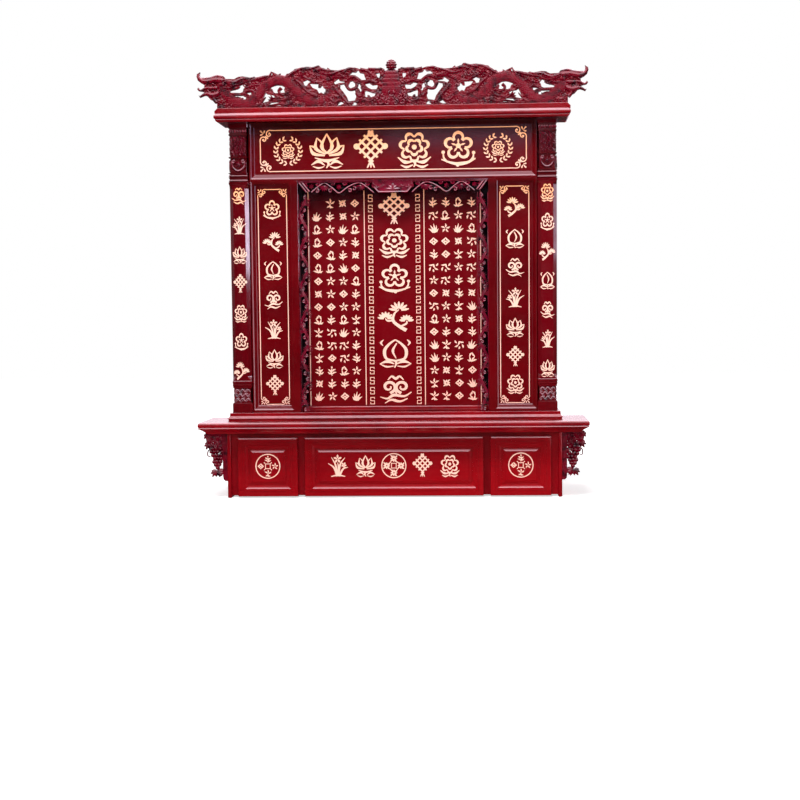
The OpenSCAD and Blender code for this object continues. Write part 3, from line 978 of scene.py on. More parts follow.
class Brush:
    """Draws ornaments in a cell of 100 by 100, each one once."""

    petals: Points = pairs(-0.95, 0.85, -0.5, 1.12, 0, 1.2, 0.5, 1.12, 0.95, 0.85)
    fans: Spots = ((-12, 18, 31), (29, -10, 25), (-35, -18, 22))
    scroll_line: Points = pairs(102, 3, 82, 3, 64, 12, 57, 28, 60, 44, 73, 52, 88, 46, 92, 33, 82, 25)
    dot_height: float = 0.45
    petal_turns: Numbers = (-2.3, -1.5, -0.7, 0, 0.7, 1.5, 2.3)
    cords: Numbers = (-18.75, -6.25, 6.25, 18.75)
    loops: Points = pairs(-41, 10, 41, 10, 0, 45)
    sprigs: tuple[Numbers, ...] = (
        star((10, 46, 45, 90), (6, 32.2, 0, 90)),
        (0, -48, 0, 30, 0, -30, -42, -12, 0, -30, 42, -12, 0, -4, -36, 18, 0, -4, 36, 18, 0, 26, 0, 48),
        (0, -46, -26, 6, -26, 6, 0, 46, 0, -46, 26, 6, 26, 6, 0, 46, -8, -40, -46, -26, 8, -40, 46, -26),
        star((9, 46, 18, 72)),
        (-44, 20, 0, 30, 0, 30, 10, -8, 10, -8, 44, -24, -30, -2, -40, -38, 24, 14, 42, 40, -4, -22, 4, -48),
        (0, 6, 0, 48, -6, 0, -44, 22, 6, 0, 44, 22, 0, -4, 4, -48, 0, -26, -32, -40, 0, -26, 32, -40),
        (0, -44, 0, 46, -3, -42, -30, 28, 3, -42, 30, 28, -6, -44, -48, -4, 6, -44, 48, -4),
        (-40, 0, 0, 36, 0, 36, 40, 0, 40, 0, 0, -36, 0, -36, -40, 0, -14, 0, 14, 0),
    )

    def __init__(self) -> None:
        """Starts with nothing drawn."""
        self.form = Form()

    def stroke(self, points: Sequence[Point], widths: Spot, steps: int = 4) -> None:
        """Paints one stroke through points, with a number of stations for each stretch."""
        self.form.brush(smooth(points, steps), widths)

    def rays(self, centre: Point, count: int, inner: float, outer: float, width: float,
             start: float = 90.0) -> None:
        """Paints petals round a centre.

        Args:
            centre: Their centre.
            count: How many there are.
            inner: Where they start.
            outer: Where they end.
            width: Their width.
            start: Angle of the first in degrees.
        """
        for i in range(count):
            a = math.radians(start) + math.tau * i / count
            points = [polar(centre, r, a) for r in (inner, inner * 0.4 + outer * 0.6, outer)]
            self.stroke(points, (width * 0.45, width, width * 0.2), 2)

    def strokes(self, motif: Motif) -> None:
        """Paints a motif's own strokes.

        Args:
            motif: Which one.
        """
        for first, middle, last, *numbers in motif.value:
            points = pairs(*numbers)
            for row in (points, [(-x, y) for x, y in points])[:2 if first < 0 else 1]:
                self.stroke(row, (abs(first), middle, last))

    def dots(self, radius: float, sides: int, *centres: Point) -> None:
        """Paints round spots."""
        for centre in centres:
            self.form.disc(centre, radius, sides, self.dot_height)

    def plum(self) -> None:
        """Paints a plum blossom, whose branch is its strokes."""
        for i in range(5):
            a = math.radians(90 + 72 * i)
            centre = polar((0, 8), 24, a)
            self.stroke([polar(centre, 13, a + b) for b in self.petal_turns], (5, 9, 5), 2)
        self.rays((0, 8), 5, 4, 20, 5)
        self.dots(7, 12, (0, 8))
        self.strokes(Motif.PLUM)
        self.dots(5, 8, (-42, -12), (42, -10), (2, -46))

    def cloud(self) -> None:
        """Paints a curling cloud."""
        self.stroke(spiral((-20, 10), 22, 5, 1.3, -80), (9, 9, 4), 2)
        self.stroke(spiral((21, 10), 22, 5, -1.3, 260), (9, 9, 4), 2)
        self.strokes(Motif.CLOUD)

    def knot(self) -> None:
        """Paints an endless knot with its tassel."""
        for p in self.cords:
            self.form.brush([(-25 + p, -15 - p), (25 + p, 35 - p)], (6, 6))
            self.form.brush([(-25 + p, 35 + p), (25 + p, -15 + p)], (6, 6))
        for x, y in self.loops:
            self.form.hoop((x * 0.96, y), 6, 5, 12)
        self.form.brush([(0, -30), (0, -38)], (9, 9))
        for x in (-10, 0, 10):
            self.form.brush([(x * 0.4, -38), (x, -50)], (5, 3))

    def pine(self) -> None:
        """Paints a bent bough of pine with its fans of needles."""
        self.strokes(Motif.PINE)
        for x, y, reach in self.fans:
            for i in range(7):
                needle = [polar((x, y), reach * r, math.radians(12 + 26 * i)) for r in (0.24, 0.7, 1)]
                self.form.brush(needle, (4, 8, 3))

    def orchid(self) -> None:
        """Paints an orchid with long leaves."""
        self.strokes(Motif.ORCHID)
        self.rays((-2, 32), 5, 3, 20, 10)
        self.rays((28, 4), 5, 2, 13, 8, 60)
        self.stroke([(-34, -48), (0, -42), (34, -48)], (3, 9, 3))

    def peony(self) -> None:
        """Paints a full peony."""
        for ring, count in ((33, 7), (18, 5)):
            for i in range(count):
                a = math.tau * (i + 0.5) / count + math.pi / 2
                petal = [polar((0, 6), ring * r, a + b * math.pi / count) for b, r in self.petals]
                self.stroke(petal, (4, 9, 4), 2)
        self.dots(7, 12, (0, 6))
        self.strokes(Motif.PEONY)

    @cache
    def ornament(self, motif: Motif) -> Form:
        """Draws a motif.

        Args:
            motif: Which one.

        Returns:
            Its form.
        """
        self.form = Form()
        getattr(self, motif.name.lower(), lambda: self.strokes(motif))()
        return self.form

    @cache
    def sprig(self, kind: int) -> Form:
        """Draws one of the small sprigs, a few dozen faces each.

        Args:
            kind: Which of the eight.

        Returns:
            Its form.
        """
        self.form = Form()
        points = pairs(*self.sprigs[kind])
        for (x0, y0), (x1, y1) in zip(points[::2], points[1::2]):
            mid = ((x0 + x1) / 2 + (y1 - y0) * 0.12, (y0 + y1) / 2 + (x0 - x1) * 0.12)
            self.form.brush([(x0, y0), mid, (x1, y1)], (8, 17, 3))
        return self.form

    @cache
    def scroll(self) -> Form:
        """Draws the scroll for a lower left corner, in a cell of 100 by 100 that starts at the corner."""
        self.form = Form()
        spur = pairs(33, 29, 38, 18, 41, 8)
        for flip in (False, True):
            for points, widths in ((self.scroll_line, (7, 10, 7)), (spur, (4, 9, 12))):
                path = [(v, u) for u, v in points] if flip else points
                self.stroke(path, widths)
                self.form.disc(path[-1], 6, 10)
            self.form.disc((32, 79) if flip else (79, 32), 6, 10)
        for points in (pairs(28, 29, 16, 17, 8, 9), pairs(46, 48, 56, 58, 66, 68)):
            self.stroke(points, (4, 9, 13), 2)
            self.form.disc(points[-1], 6.5, 10)
        return self.form


@dataclass
class GiltPainter:
    """Paints every ornament, line, fret and coin on the boards and drawers."""

    finish: Material
    frieze_edge: Edge = (-301.5, 303.5, 742.5, 835)
    frieze_marks: Points = pairs(-149, 788, -49, 788, 50, 788, 150, 788)
    wreaths: Points = pairs(-238, 788, 240, 788)
    couplet_edge: Edge = (243.5, 309, 210.5, 702)
    couplet_marks: Numbers = (656, 584, 518, 450, 383, 316, 254)
    column_marks: Numbers = (686, 620, 554, 488, 421, 356, 290)
    text_lines: Numbers = (-198.7, -69, 69, 198.7)
    text_marks: Numbers = (657, 581, 498, 411, 325, 240)
    text_columns: Numbers = (90.5, 118.5, 148, 178)
    text_rows: int = 16
    text_top: float = 671
    text_step: float = 29.7
    sprig_size: Point = (23.5, 23)
    coin_hole: float = 5.4
    coin_rim: float = 2.2
    wreath_leaves: int = 9
    wreath_step: float = 18.5
    links: int = 21
    link_step: float = 23.35
    seed: int = 11
    drawer_marks: Numbers = (-127, -64.5, 65, 127)
    link: tuple[Edge, ...] = (
        (-4.4, 3.6, -4.4, 8.3), (-4.4, 7.6, 4.4, 7.6), (4.4, 8.3, 4.4, -0.7), (4.4, 0, -4.4, 0),
        (-4.4, 0.7, -4.4, -8.3), (-4.4, -7.6, 4.4, -7.6), (4.4, -8.3, 4.4, -3.6),
    )
    brush: Brush = field(default_factory=Brush)
    sheet: Form = field(default_factory=Form)

    def hang(self, name: str, y: float, body: str = CABINET) -> None:
        """Fixes a sheet of gilt work to a face that looks to the front.

        Args:
            name: The piece's name.
            y: The face's place.
            body: The body it rides on.
        """
        self.sheet.placed(name, self.finish, "gilt", turn=on_face(y + PAINT_GAP), body=body)
        self.sheet = Form()

    def stamp(self, drawing: Form, centre: Point, width: float, height: float) -> None:
        """Copies a drawing onto the sheet.

        Args:
            drawing: What is copied.
            centre: Its place.
            width: Its width, negative where it is mirrored.
            height: Its height, negative where it is upside down.
        """
        scale = Matrix.Diagonal((width / CELL, height / CELL, 1, 1))
        self.sheet.add(drawing, Matrix.Translation((*centre, 0)) @ scale)

    def row(self, centres: Sequence[Point], width: float, height: float, first: int = 0) -> None:
        """Paints a row of ornaments, every other one mirrored.

        Args:
            centres: Their centres.
            width: Their width.
            height: Their height.
            first: The ornament that the row starts with.
        """
        kinds = list(Motif)
        for i, centre in enumerate(centres):
            drawing = self.brush.ornament(kinds[(first + i * 3) % len(kinds)])
            self.stamp(drawing, centre, -width if i % 2 else width, height)

    def line(self, edge: Edge, width: float, cut: float = 0.0) -> None:
        """Paints a gilt line round a rectangle.

        Args:
            edge: The rectangle.
            width: The line's width.
            cut: How much each side stops short of its corners.
        """
        u0, u1, v0, v1 = edge
        end = cut - width / 2
        for v in (v0, v1):
            self.sheet.brush([(u0 + end, v), (u1 - end, v)], (width, width))
        for u in (u0, u1):
            self.sheet.brush([(u, v0 + end), (u, v1 - end)], (width, width))

    def border(self, edge: Edge, width: float, scroll: float, aside: float = 1.0) -> None:
        """Paints a line with a scroll at each corner round a field.

        Args:
            edge: The line's rectangle.
            width: The line's width.
            scroll: Size of the scrolls.
            aside: How far the scrolls stand out past the line to the left and right.
        """
        self.line(edge, width, scroll - 1)
        u0, u1, v0, v1 = edge
        for u, across in ((u0 - aside, scroll), (u1 + aside, -scroll)):
            for v, up in ((v0 - 1, scroll), (v1 + 1, -scroll)):
                self.stamp(self.brush.scroll(), (u, v), across, up)

    def wreath(self, centre: Point, radius: float) -> None:
        """Paints a laurel wreath round a small ornament.

        Args:
            centre: Its centre.
            radius: Its outer radius.
        """
        mid = radius * 0.82
        for sign in (-1, 1):
            for i in range(self.wreath_leaves):
                a = math.radians(7 + self.wreath_step * i)
                out = Vector((sign * math.sin(a), -math.cos(a)))
                along = Vector((sign * math.cos(a), math.sin(a)))
                root = Vector(centre) + out * mid
                for lean in (-1, 1):
                    tip = root + along * 7.0 + out * lean * 5.2
                    self.sheet.brush([root, (root + tip) / 2 + out * lean * 1.0, tip], (1.4, 3.8, 0.6))
        self.stamp(self.brush.ornament(Motif.PEONY), centre, radius * 0.98, radius * 0.98)

    def coin(self, centre: Point, radius: float, full: bool = False) -> None:
        """Paints an old coin with a square hole.

        Args:
            centre: Its centre.
            radius: Its outer radius.
            full: Whether the space round the hole is nearly filled.
        """
        u, v = centre
        hole = self.coin_hole
        self.sheet.hoop(centre, radius - self.coin_rim / 2, self.coin_rim, 48)
        self.line((u - hole, u + hole, v - hole, v + hole), 1.5)
        for i, (du, dv) in enumerate(((0, 1), (1, 0), (0, -1), (-1, 0))):
            spot = (u + du * radius * 0.57, v + dv * radius * 0.57)
            size = radius * (0.82 if full else 0.6)
            self.stamp(self.brush.sprig(0 if full else i * 2 + 1), spot, size, size)
        for a in (45, 135, 225, 315):
            self.sheet.brush([polar(centre, r, math.radians(a)) for r in (8.5, 12.5)], (1.2, 2.0))

    def frieze(self, field_y: float) -> None:
        """Paints the long board over the niche.

        Args:
            field_y: The face of its field.
        """
        self.border(self.frieze_edge, 1.9, 27)
        self.row(self.frieze_marks, 82, 80)
        for centre in self.wreaths:
            self.wreath(centre, 34)
        self.hang("gilt_frieze", field_y)

    def couplet(self, side: Side, field_y: float) -> None:
        """Paints one of the tall boards beside the niche.

        Args:
            side: Which side it is on.
            field_y: The face of its field.
        """
        self.border(side.own(self.couplet_edge), 1.7, 19, 0.8)
        self.row([(side.value * 277, v) for v in self.couplet_marks], 43, 44, 1 if side is Side.LEFT else 4)
        self.hang(f"gilt_couplet_{side.word}", field_y)

    def column(self, side: Side, face_y: float) -> None:
        """Paints the front of a column.

        Args:
            side: Which side it is on.
            face_y: The column's front.
        """
        self.row([(side.value * 350, v) for v in self.column_marks], 33, 40, 2 if side is Side.LEFT else 6)
        self.hang(f"gilt_column_{side.word}", face_y)

    def frets(self) -> None:
        """Paints the key borders beside the middle of the text board, link by link."""
        link = Form()
        for u0, v0, u1, v1 in self.link:
            link.brush([(u0, v0), (u1, v1)], (1.5, 1.5))
        for side in Side:
            for i in range(self.links):
                place = Matrix.Translation((side.value * 54.5, 215 + self.link_step * i, 0))
                self.sheet.add(link, place @ side.mirror)

    def text_board(self, face_y: float) -> None:
        """Paints the board at the back of the niche with its borders and its rows of sprigs.

        Args:
            face_y: The board's face.
        """
        for u in self.text_lines:
            self.sheet.brush([(u, 205), (u, 700)], (1.7, 1.7))
        self.frets()
        self.row([(0, v) for v in self.text_marks], 76, 68, 3)
        rng = random.Random(self.seed)
        width, height = self.sprig_size
        for side in Side:
            for u in self.text_columns:
                short = side is Side.LEFT and u == self.text_columns[-1]
                for i in range(1 if short else 0, self.text_rows):
                    centre = (side.value * u + rng.uniform(-0.6, 0.6), self.text_top - self.text_step * i)
                    sprig = self.brush.sprig(rng.randrange(len(self.brush.sprigs)))
                    self.stamp(sprig, centre, -width if rng.random() < 0.5 else width, height)
        self.hang("gilt_text_board", face_y)

    def drawer(self, name: str, face_y: float, centre: Point) -> None:
        """Paints a drawer's front.

        Args:
            name: The drawer's body.
            face_y: The front's raised field.
            centre: The middle of the front.
        """
        wide = name == DRAWERS[1]
        self.coin(centre, 28.5, wide)
        if wide:
            self.row([(u, centre[1]) for u in self.drawer_marks], 47, 50, 5)
        self.hang(f"gilt_{name}", face_y, body=name)


# ---- The side table under the niche ----


@dataclass
class Assembly:
    """A part of the cabinet that is built as one, with the form that it is working on."""

    finishes: Finishes
    painter: GiltPainter
    form: Form = field(init=False, default_factory=Form)

    def moulded(self, node: str, name: str, steps: Sequence[Point], crease: float = 20.0) -> None:
        """Builds a red board that lies flat with a moulded edge at its front and ends.

        Args:
            node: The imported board.
            name: The piece's name.
            steps: Its edge as (height above the board's underside, inset), from the bottom up.
            crease: Angle in degrees past which an edge stays sharp.
        """
        box = Box.of(node)
        form = Form()
        form.stack([(box.low.x + inset, box.high.x - inset, box.low.y + inset, box.high.y, box.low.z + height)
                    for height, inset in steps])
        form.placed(name, self.finishes.red, "lacquer", node, crease=crease)

    def eased(self, node: str, name: str) -> None:
        """Builds a plain red board with rounded edges.

        Args:
            node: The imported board.
            name: The piece's name.
        """
        box = Box.of(node)
        form = Form()
        form.block(box.low, box.high, EASED_EDGE, 4)
        form.placed(name, self.finishes.red, "lacquer", node)


@dataclass
class Half(Assembly):
    """A part that the cabinet has on each side."""

    side: Side

    @property
    def word(self) -> str:
        """The side's name as the nodes write it."""
        return self.side.word


@dataclass
class SideTable(Assembly):
    """The low table with its moulded top, side panels and the carcass round the drawers."""

    top_edge: Points = pairs(
        0, 17.3, 0.6, 16.6, 2, 15.8, 4, 14.2, 6, 11.6, 8, 8.4, 9.6, 5.4, 10.6, 4.2, 11, 4.2, 11.2, 1.8,
        12, 0.8, 12.8, 0.5, 14.6, 1.2, 14.9, 1.7, 15.2, 1.6, 15.6, 0.4, 16.2, 0, 21.8, 0, 23.2, 0.4,
        24.6, 1, 25.5, 1.8, 26, 3,
    )
    carcass: tuple[str, ...] = (
        "drawer_cheek_left", "drawer_cheek_right", "partition_left", "partition_right", "base_bottom",
        "base_back", "front_rail",
    )

    def build(self) -> None:
        """Builds the ogee top and the thin end panels, and dresses the carcass."""
        self.moulded("table_top", "side_table_top", self.top_edge)
        for side in Side:
            self.eased(f"side_panel_{side.word}", f"end_panel_{side.word}")
        for node in self.carcass:
            self.finishes.dress(node, self.finishes.red)


@dataclass
class Drawer(Assembly):
    """One drawer: a moulded front, and a plain box that the frame already holds."""

    name: str
    section: Points = pairs(
        0, 12.4, 0.3, 13.2, 0.6, 13.55, 3.2, 13.93, 3.4, 14, 10.4, 14, 10.5, 13.2, 11.5, 13.2, 11.8, 14,
        15.8, 14, 15.9, 13, 17, 12.9, 17.4, 13.2, 18.2, 12.8, 19.6, 12.25, 21.4, 11.7, 24, 11.1, 24.2, 9.6,
        25.6, 9.5, 25.8, 8.6, 28.2, 8.5, 28.4, 9.7, 30.2, 10.2, 31.6, 10.7, 33.4, 11.4, 34, 12,
    )

    def build(self) -> None:
        """Builds the front, dresses the box and has the front painted."""
        node = f"{self.name}_front"
        box = Box.of(node)
        self.form.stack(insets(box.edge, ((0, 0), *self.section)), on_face(box.high.y))
        self.form.placed(f"{self.name}_panel", self.finishes.front, "lacquer", node, crease=8, body=self.name)
        for part in ("sides", "back", "bottom"):
            self.finishes.dress(f"{self.name}_{part}", self.finishes.board)
        self.painter.drawer(self.name, box.high.y - self.section[-1][1], (box.middle.x, box.middle.z + 2))


@dataclass
class GrapeBracket(Half):
    """A fretwork bracket of vine and grapes at one end of the table, from its upper inner corner outwards."""

    grape: float = 4.9
    stray: Spot = (0.6, 0.6, 0.8)
    seed: int = 5
    strip: Points = pairs(0, -110, 6, -110, 10, -106, 11, -99, 11, 0, 0, 0)
    rail: Points = pairs(0, -5, 50, -5, 50, 0, 0, 0)
    stems: tuple[tuple[int, Spot, Points], ...] = (
        (8, (4.2, 3.0, 1.6), pairs(12, -14, 26, -40, 23, -66, 24, -98)),
        (6, (2.6, 2.2, 1.6), pairs(10, -46, 17, -52, 24, -60)),
        (6, (2.2, 2.2, 1.6), pairs(10, -86, 17, -84, 24, -92)),
    )
    tendril: Spots = ((30, -34, 4), (44, -40, 5), (46, -52, 6), (40, -54, 6))
    bunch: tuple[Numbers, ...] = (
        (-36, 17, 26, 35), (-43, 13, 21.5, 30.5, 38), (-51, 16.5, 25, 33.5), (-58, 13, 21, 29),
        (-66, 17, 25, 31.5), (-73, 20.5, 28), (-80, 24),
    )
    leaves: Spots = (
        (21, -4, 240), (33, -3, 262), (45, -3, 280), (15, -12, 200), (27, -14, 250), (39, -13, 285),
        (21, -24, 225), (32, -24, 262), (42, -24, 300), (23, -86, 255), (28, -87, 300), (22, -88, 205),
    )

    def build(self) -> None:
        """Builds and dresses the bracket."""
        node = f"grape_bracket_{self.word}"
        box = Box.of(node)
        depth = box.high.y - box.low.y
        mid = depth / 2
        self.form.plate(self.strip, 0.5, depth - 0.5)
        self.form.plate(self.rail, 0.5, depth - 1)
        for sides, radii, points in self.stems:
            self.form.tube(smooth([(*p, mid) for p in points]), radii, sides)
        rng = random.Random(self.seed)
        for v, *row in self.bunch:
            for u in row:
                for w in (mid + 3.0, mid - 3.2):
                    size = self.grape * rng.uniform(0.9, 1.08)
                    place = [at + rng.uniform(-far, far) for at, far in zip((u, v, w), self.stray)]
                    self.form.bead(place, (size, size, size), 2)
        for u, v, angle in self.leaves:
            self.vine_leaf((u, v, depth - 4.5), angle, 17)
            self.vine_leaf((u, v, 4.5), angle, 16)
        self.form.tube(smooth([(u, v, depth - w) for u, v, w in self.tendril]), (1.8, 1.5, 1.1), 6)
        inner = min(abs(box.low.x), abs(box.high.x))
        corner = on_face(box.high.y) @ self.side.mirror @ Matrix.Translation((inner, box.high.z, 0))
        self.form.placed(f"vine_bracket_{self.word}", self.finishes.carved, "carving", node, turn=corner)

    def vine_leaf(self, base: Spot, angle: float, size: float) -> None:
        """Carves one lobed leaf.

        Args:
            base: Where its stalk joins it.
            angle: Its direction in degrees.
            size: Its length.
        """
        for lean, share in ((-62, 0.62), (-32, 0.85), (0, 1.0), (32, 0.85), (62, 0.62)):
            self.form.leaf(base, angle + lean, size * share, size * 0.46, 2.6)


# ---- The case ----


@dataclass
class Column(Half):
    """A square column with a carved foot, a chamfered shaft and a carved head."""

    half: float = 22.5
    shaft: float = 21.6
    margin: float = 4.5
    sunk: float = 4.2
    seed: int = 11
    base: Points = pairs(
        0, 0.6, 0.6, 0, 22, 0, 22.6, 1.2, 24.2, 1.2, 24.6, 3.4, 57, 3.4, 57.4, 1.2, 62, 1.2, 62.6, 0, 65, 0,
        65.6, 1, 67.4, 1, 68, 0, 73, 0, 73.6, 0.4, 521, 0.3, 522, 0,
    )
    chamfers: Points = pairs(
        74, 1.6, 76, 2.6, 79, 5.2, 82, 7.4, 84, 8, 87, 8, 509, 8, 512, 8, 515, 7, 518, 4, 520.5, 1.6,
    )
    ring: Points = pairs(0, 0, 0.3, 2.2, 1, 1.6, 1.8, 0.7, 3, 0.3, 4.2, 0.7, 5, 1.6, 6, 2.2)
    head: Points = pairs(
        545, 2.2, 545.4, 0.2, 547, 0.2, 547.4, 4, 580, 4, 580.4, 1, 583, 1, 583.4, 4, 630, 4, 630.5, 1.5,
        634, 1.5, 634.5, 2.6, 646, 2.6, 648, 0.6, 653, 0, 661, 0,
    )
    waves: Points = pairs(30, 1, 40.5, -1, 51, 1)
    smile: Spots = (
        (-15, 573, 1.4), (-13.5, 562, 1.8), (-7, 554, 2.2), (0, 551.5, 2.4), (7, 554, 2.2), (13.5, 562, 1.8),
        (15, 573, 1.4),
    )

    def levels(self) -> list[Spot]:
        """Lists the column's levels as (height, half width, chamfer)."""
        made = [(height, self.shaft, chamfer) for height, chamfer in self.chamfers]
        rings = [(foot + height, inset) for foot in (526, 537) for height, inset in self.ring]
        for height, inset in (*self.base, *rings, *self.head):
            made.append((height, self.half - inset, 1))
        return sorted(made)

    def carve(self) -> None:
        """Carves the foot band, the lotus band and the scale band of one face."""
        reach = self.half - self.margin
        for row, (v, lean) in enumerate(self.waves):
            wave = [(-reach + i * reach / 3, v + (3.0 if (i + row) % 2 else -3.0), 0.6) for i in range(7)]
            self.form.tube(smooth(wave, 3), (1.7, 2.3, 1.7), 6)
            for i in range(6):
                spot = (-reach + (i + 0.5) * reach / 3, v + lean * (2.4 if i % 2 else -2.4), 0.8)
                self.form.curl(spot, (3.0, 0.7), 1.2, 90 * i, (1.0, 1.2, 0.7), 5, 10)
        self.form.tube(smooth(self.smile), (1.6, 2.6, 1.6), 8)
        for sign in (-1, 1):
            self.form.curl((sign * 11, 573, 2.0), (4.4, 0.8), -1.4 * sign, 90 - sign * 90, (1.5, 1.5, 0.9))
        for i in range(6):
            self.form.leaf((0, 566, 0.8), 30 + 60 * i, 7.0, 4.6, 3.2)
        self.form.bead((0, 566, 2.6), (2.2, 2.2, 2.2), 2)
        rng = random.Random(self.seed)
        for row in range(9):
            for i in range(6 + row % 2):
                u = (i - (5 + row % 2) / 2) * 5.2 + rng.uniform(-0.7, 0.7)
                base = (u, 629 - row * 4.8 + rng.uniform(-0.8, 0.8), 0.4)
                angle, length = -90 + rng.uniform(-48, 48), rng.uniform(5.5, 8)
                self.form.leaf(base, angle, length, rng.uniform(2.6, 3.8), 2.2, 0.2)
        for i in range(7):
            self.form.bead((-reach + i * reach / 3, 640.5, 1.4), (2.6, 3.6, 2.0), 1)

    def build(self) -> None:
        """Builds, dresses and paints the column."""
        node = f"column_{self.word}"
        box = Box.of(node)
        centre = Vector((box.middle.x, box.middle.y, box.low.z))
        post = Form()
        post.post(self.levels(), centre)
        post.placed(f"post_{self.word}", self.finishes.post, "lacquer", node, crease=20)
        self.carve()
        carved = Form()
        for angle in (0, self.side.value * 90):
            turn = Matrix.Rotation(math.radians(angle), 4, "Z")
            carved.add(self.form, Matrix.Translation(centre) @ turn @ on_face(-(self.half - self.sunk)))
        carved.placed(f"post_carving_{self.word}", self.finishes.head, "carving")
        self.painter.column(self.side, centre.y - self.shaft)


@dataclass
class Case(Assembly):
    """The upright case: its plinth, boards, niche, frieze and cornice."""

    field_y: float = 7.0
    plinth_edge: Points = pairs(
        0, 2.2, 3, 2.2, 3.3, 0.9, 3.8, 0.3, 4.6, 0, 5.2, 0.2, 6.8, 0.9, 7, 2, 7.3, 3.2, 7.8, 3.4, 9.6, 4.1,
        9.9, 4.6, 10.2, 5.2, 16.6, 5.4, 17, 5.8,
    )
    lip: Points = pairs(0, 18, 0.4, 17.5, 1.4, 17.05, 2.6, 16.6, 4, 16.2, 5.2, 16, 5.5, 12.8)
    foot: Points = pairs(-1.6, 12, -0.8, 11.3, 0, 11)
    cornice_edge: Points = pairs(
        0, 7, 1.2, 4.6, 2.2, 3.6, 3.2, 3, 4.5, 2.8, 5.6, 3.2, 6.2, 4, 6.8, 4, 7, 1.2, 8, 0.3, 10, 0,
        12.8, 0, 13.8, 0.3, 14.8, 1.2, 16.2, 2.4, 17.6, 3.6, 18.8, 4.8, 19.6, 6, 20, 7,
    )
    frieze_opening: Edge = (-325, 325, 724.5, 850)
    frieze_field: Edge = (-315, 315, 735, 841)
    couplet_opening: Edge = (233, 325, 197.5, 719.5)
    couplet_field: Edge = (240.5, 315, 208, 710.5)

    def framed(self, node: str, name: str, opening: Edge, field_edge: Edge) -> None:
        """Builds a board with a sunk field inside a bevelled frame.

        Args:
            node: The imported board.
            name: The piece's name.
            opening: The frame's inner edge at its face.
            field_edge: The field's edge.
        """
        box = Box.of(node)
        thick = box.high.y - box.low.y
        form = Form()
        form.stack(insets(box.edge, ((0, 0), (0, thick - 0.6), (0.6, thick))) + insets(opening, self.lip)
                   + insets(field_edge, self.foot), on_face(box.high.y))
        form.placed(name, self.finishes.field_red, "lacquer", node, crease=8)

    def couplets(self) -> None:
        """Builds and paints the two tall boards."""
        for side in Side:
            edges = side.own(self.couplet_opening), side.own(self.couplet_field)
            self.framed(f"couplet_board_{side.word}", f"tall_board_{side.word}", *edges)
            self.painter.couplet(side, self.field_y)

    def frieze(self) -> None:
        """Builds and paints the long board over the niche."""
        self.framed("frieze_board", "long_board", self.frieze_opening, self.frieze_field)
        self.painter.frieze(self.field_y)

    def niche(self) -> None:
        """Dresses the niche, builds its sill and has the board at its back painted."""
        # Painted shade: the niche's sides and ceiling get near-black lacquer, and its back board is painted
        # darker at its sides and top.
        for node in ("niche_side_left", "niche_side_right", "niche_ceiling"):
            self.finishes.dress(node, self.finishes.shade)
        self.finishes.dress("niche_back_board", self.finishes.niche)
        self.eased("niche_sill", "sill_strip")
        self.painter.text_board(Box.of("niche_back_board").low.y)

    def build(self) -> None:
        """Builds, dresses and paints the case."""
        for node in ("case_side_left", "case_side_right", "case_back"):
            self.finishes.dress(node, self.finishes.red)
        self.moulded("plinth_board", "plinth_moulding", self.plinth_edge, 22)
        self.niche()
        self.couplets()
        self.frieze()
        self.moulded("cornice", "cornice_moulding", self.cornice_edge)


# ---- Carvings ----


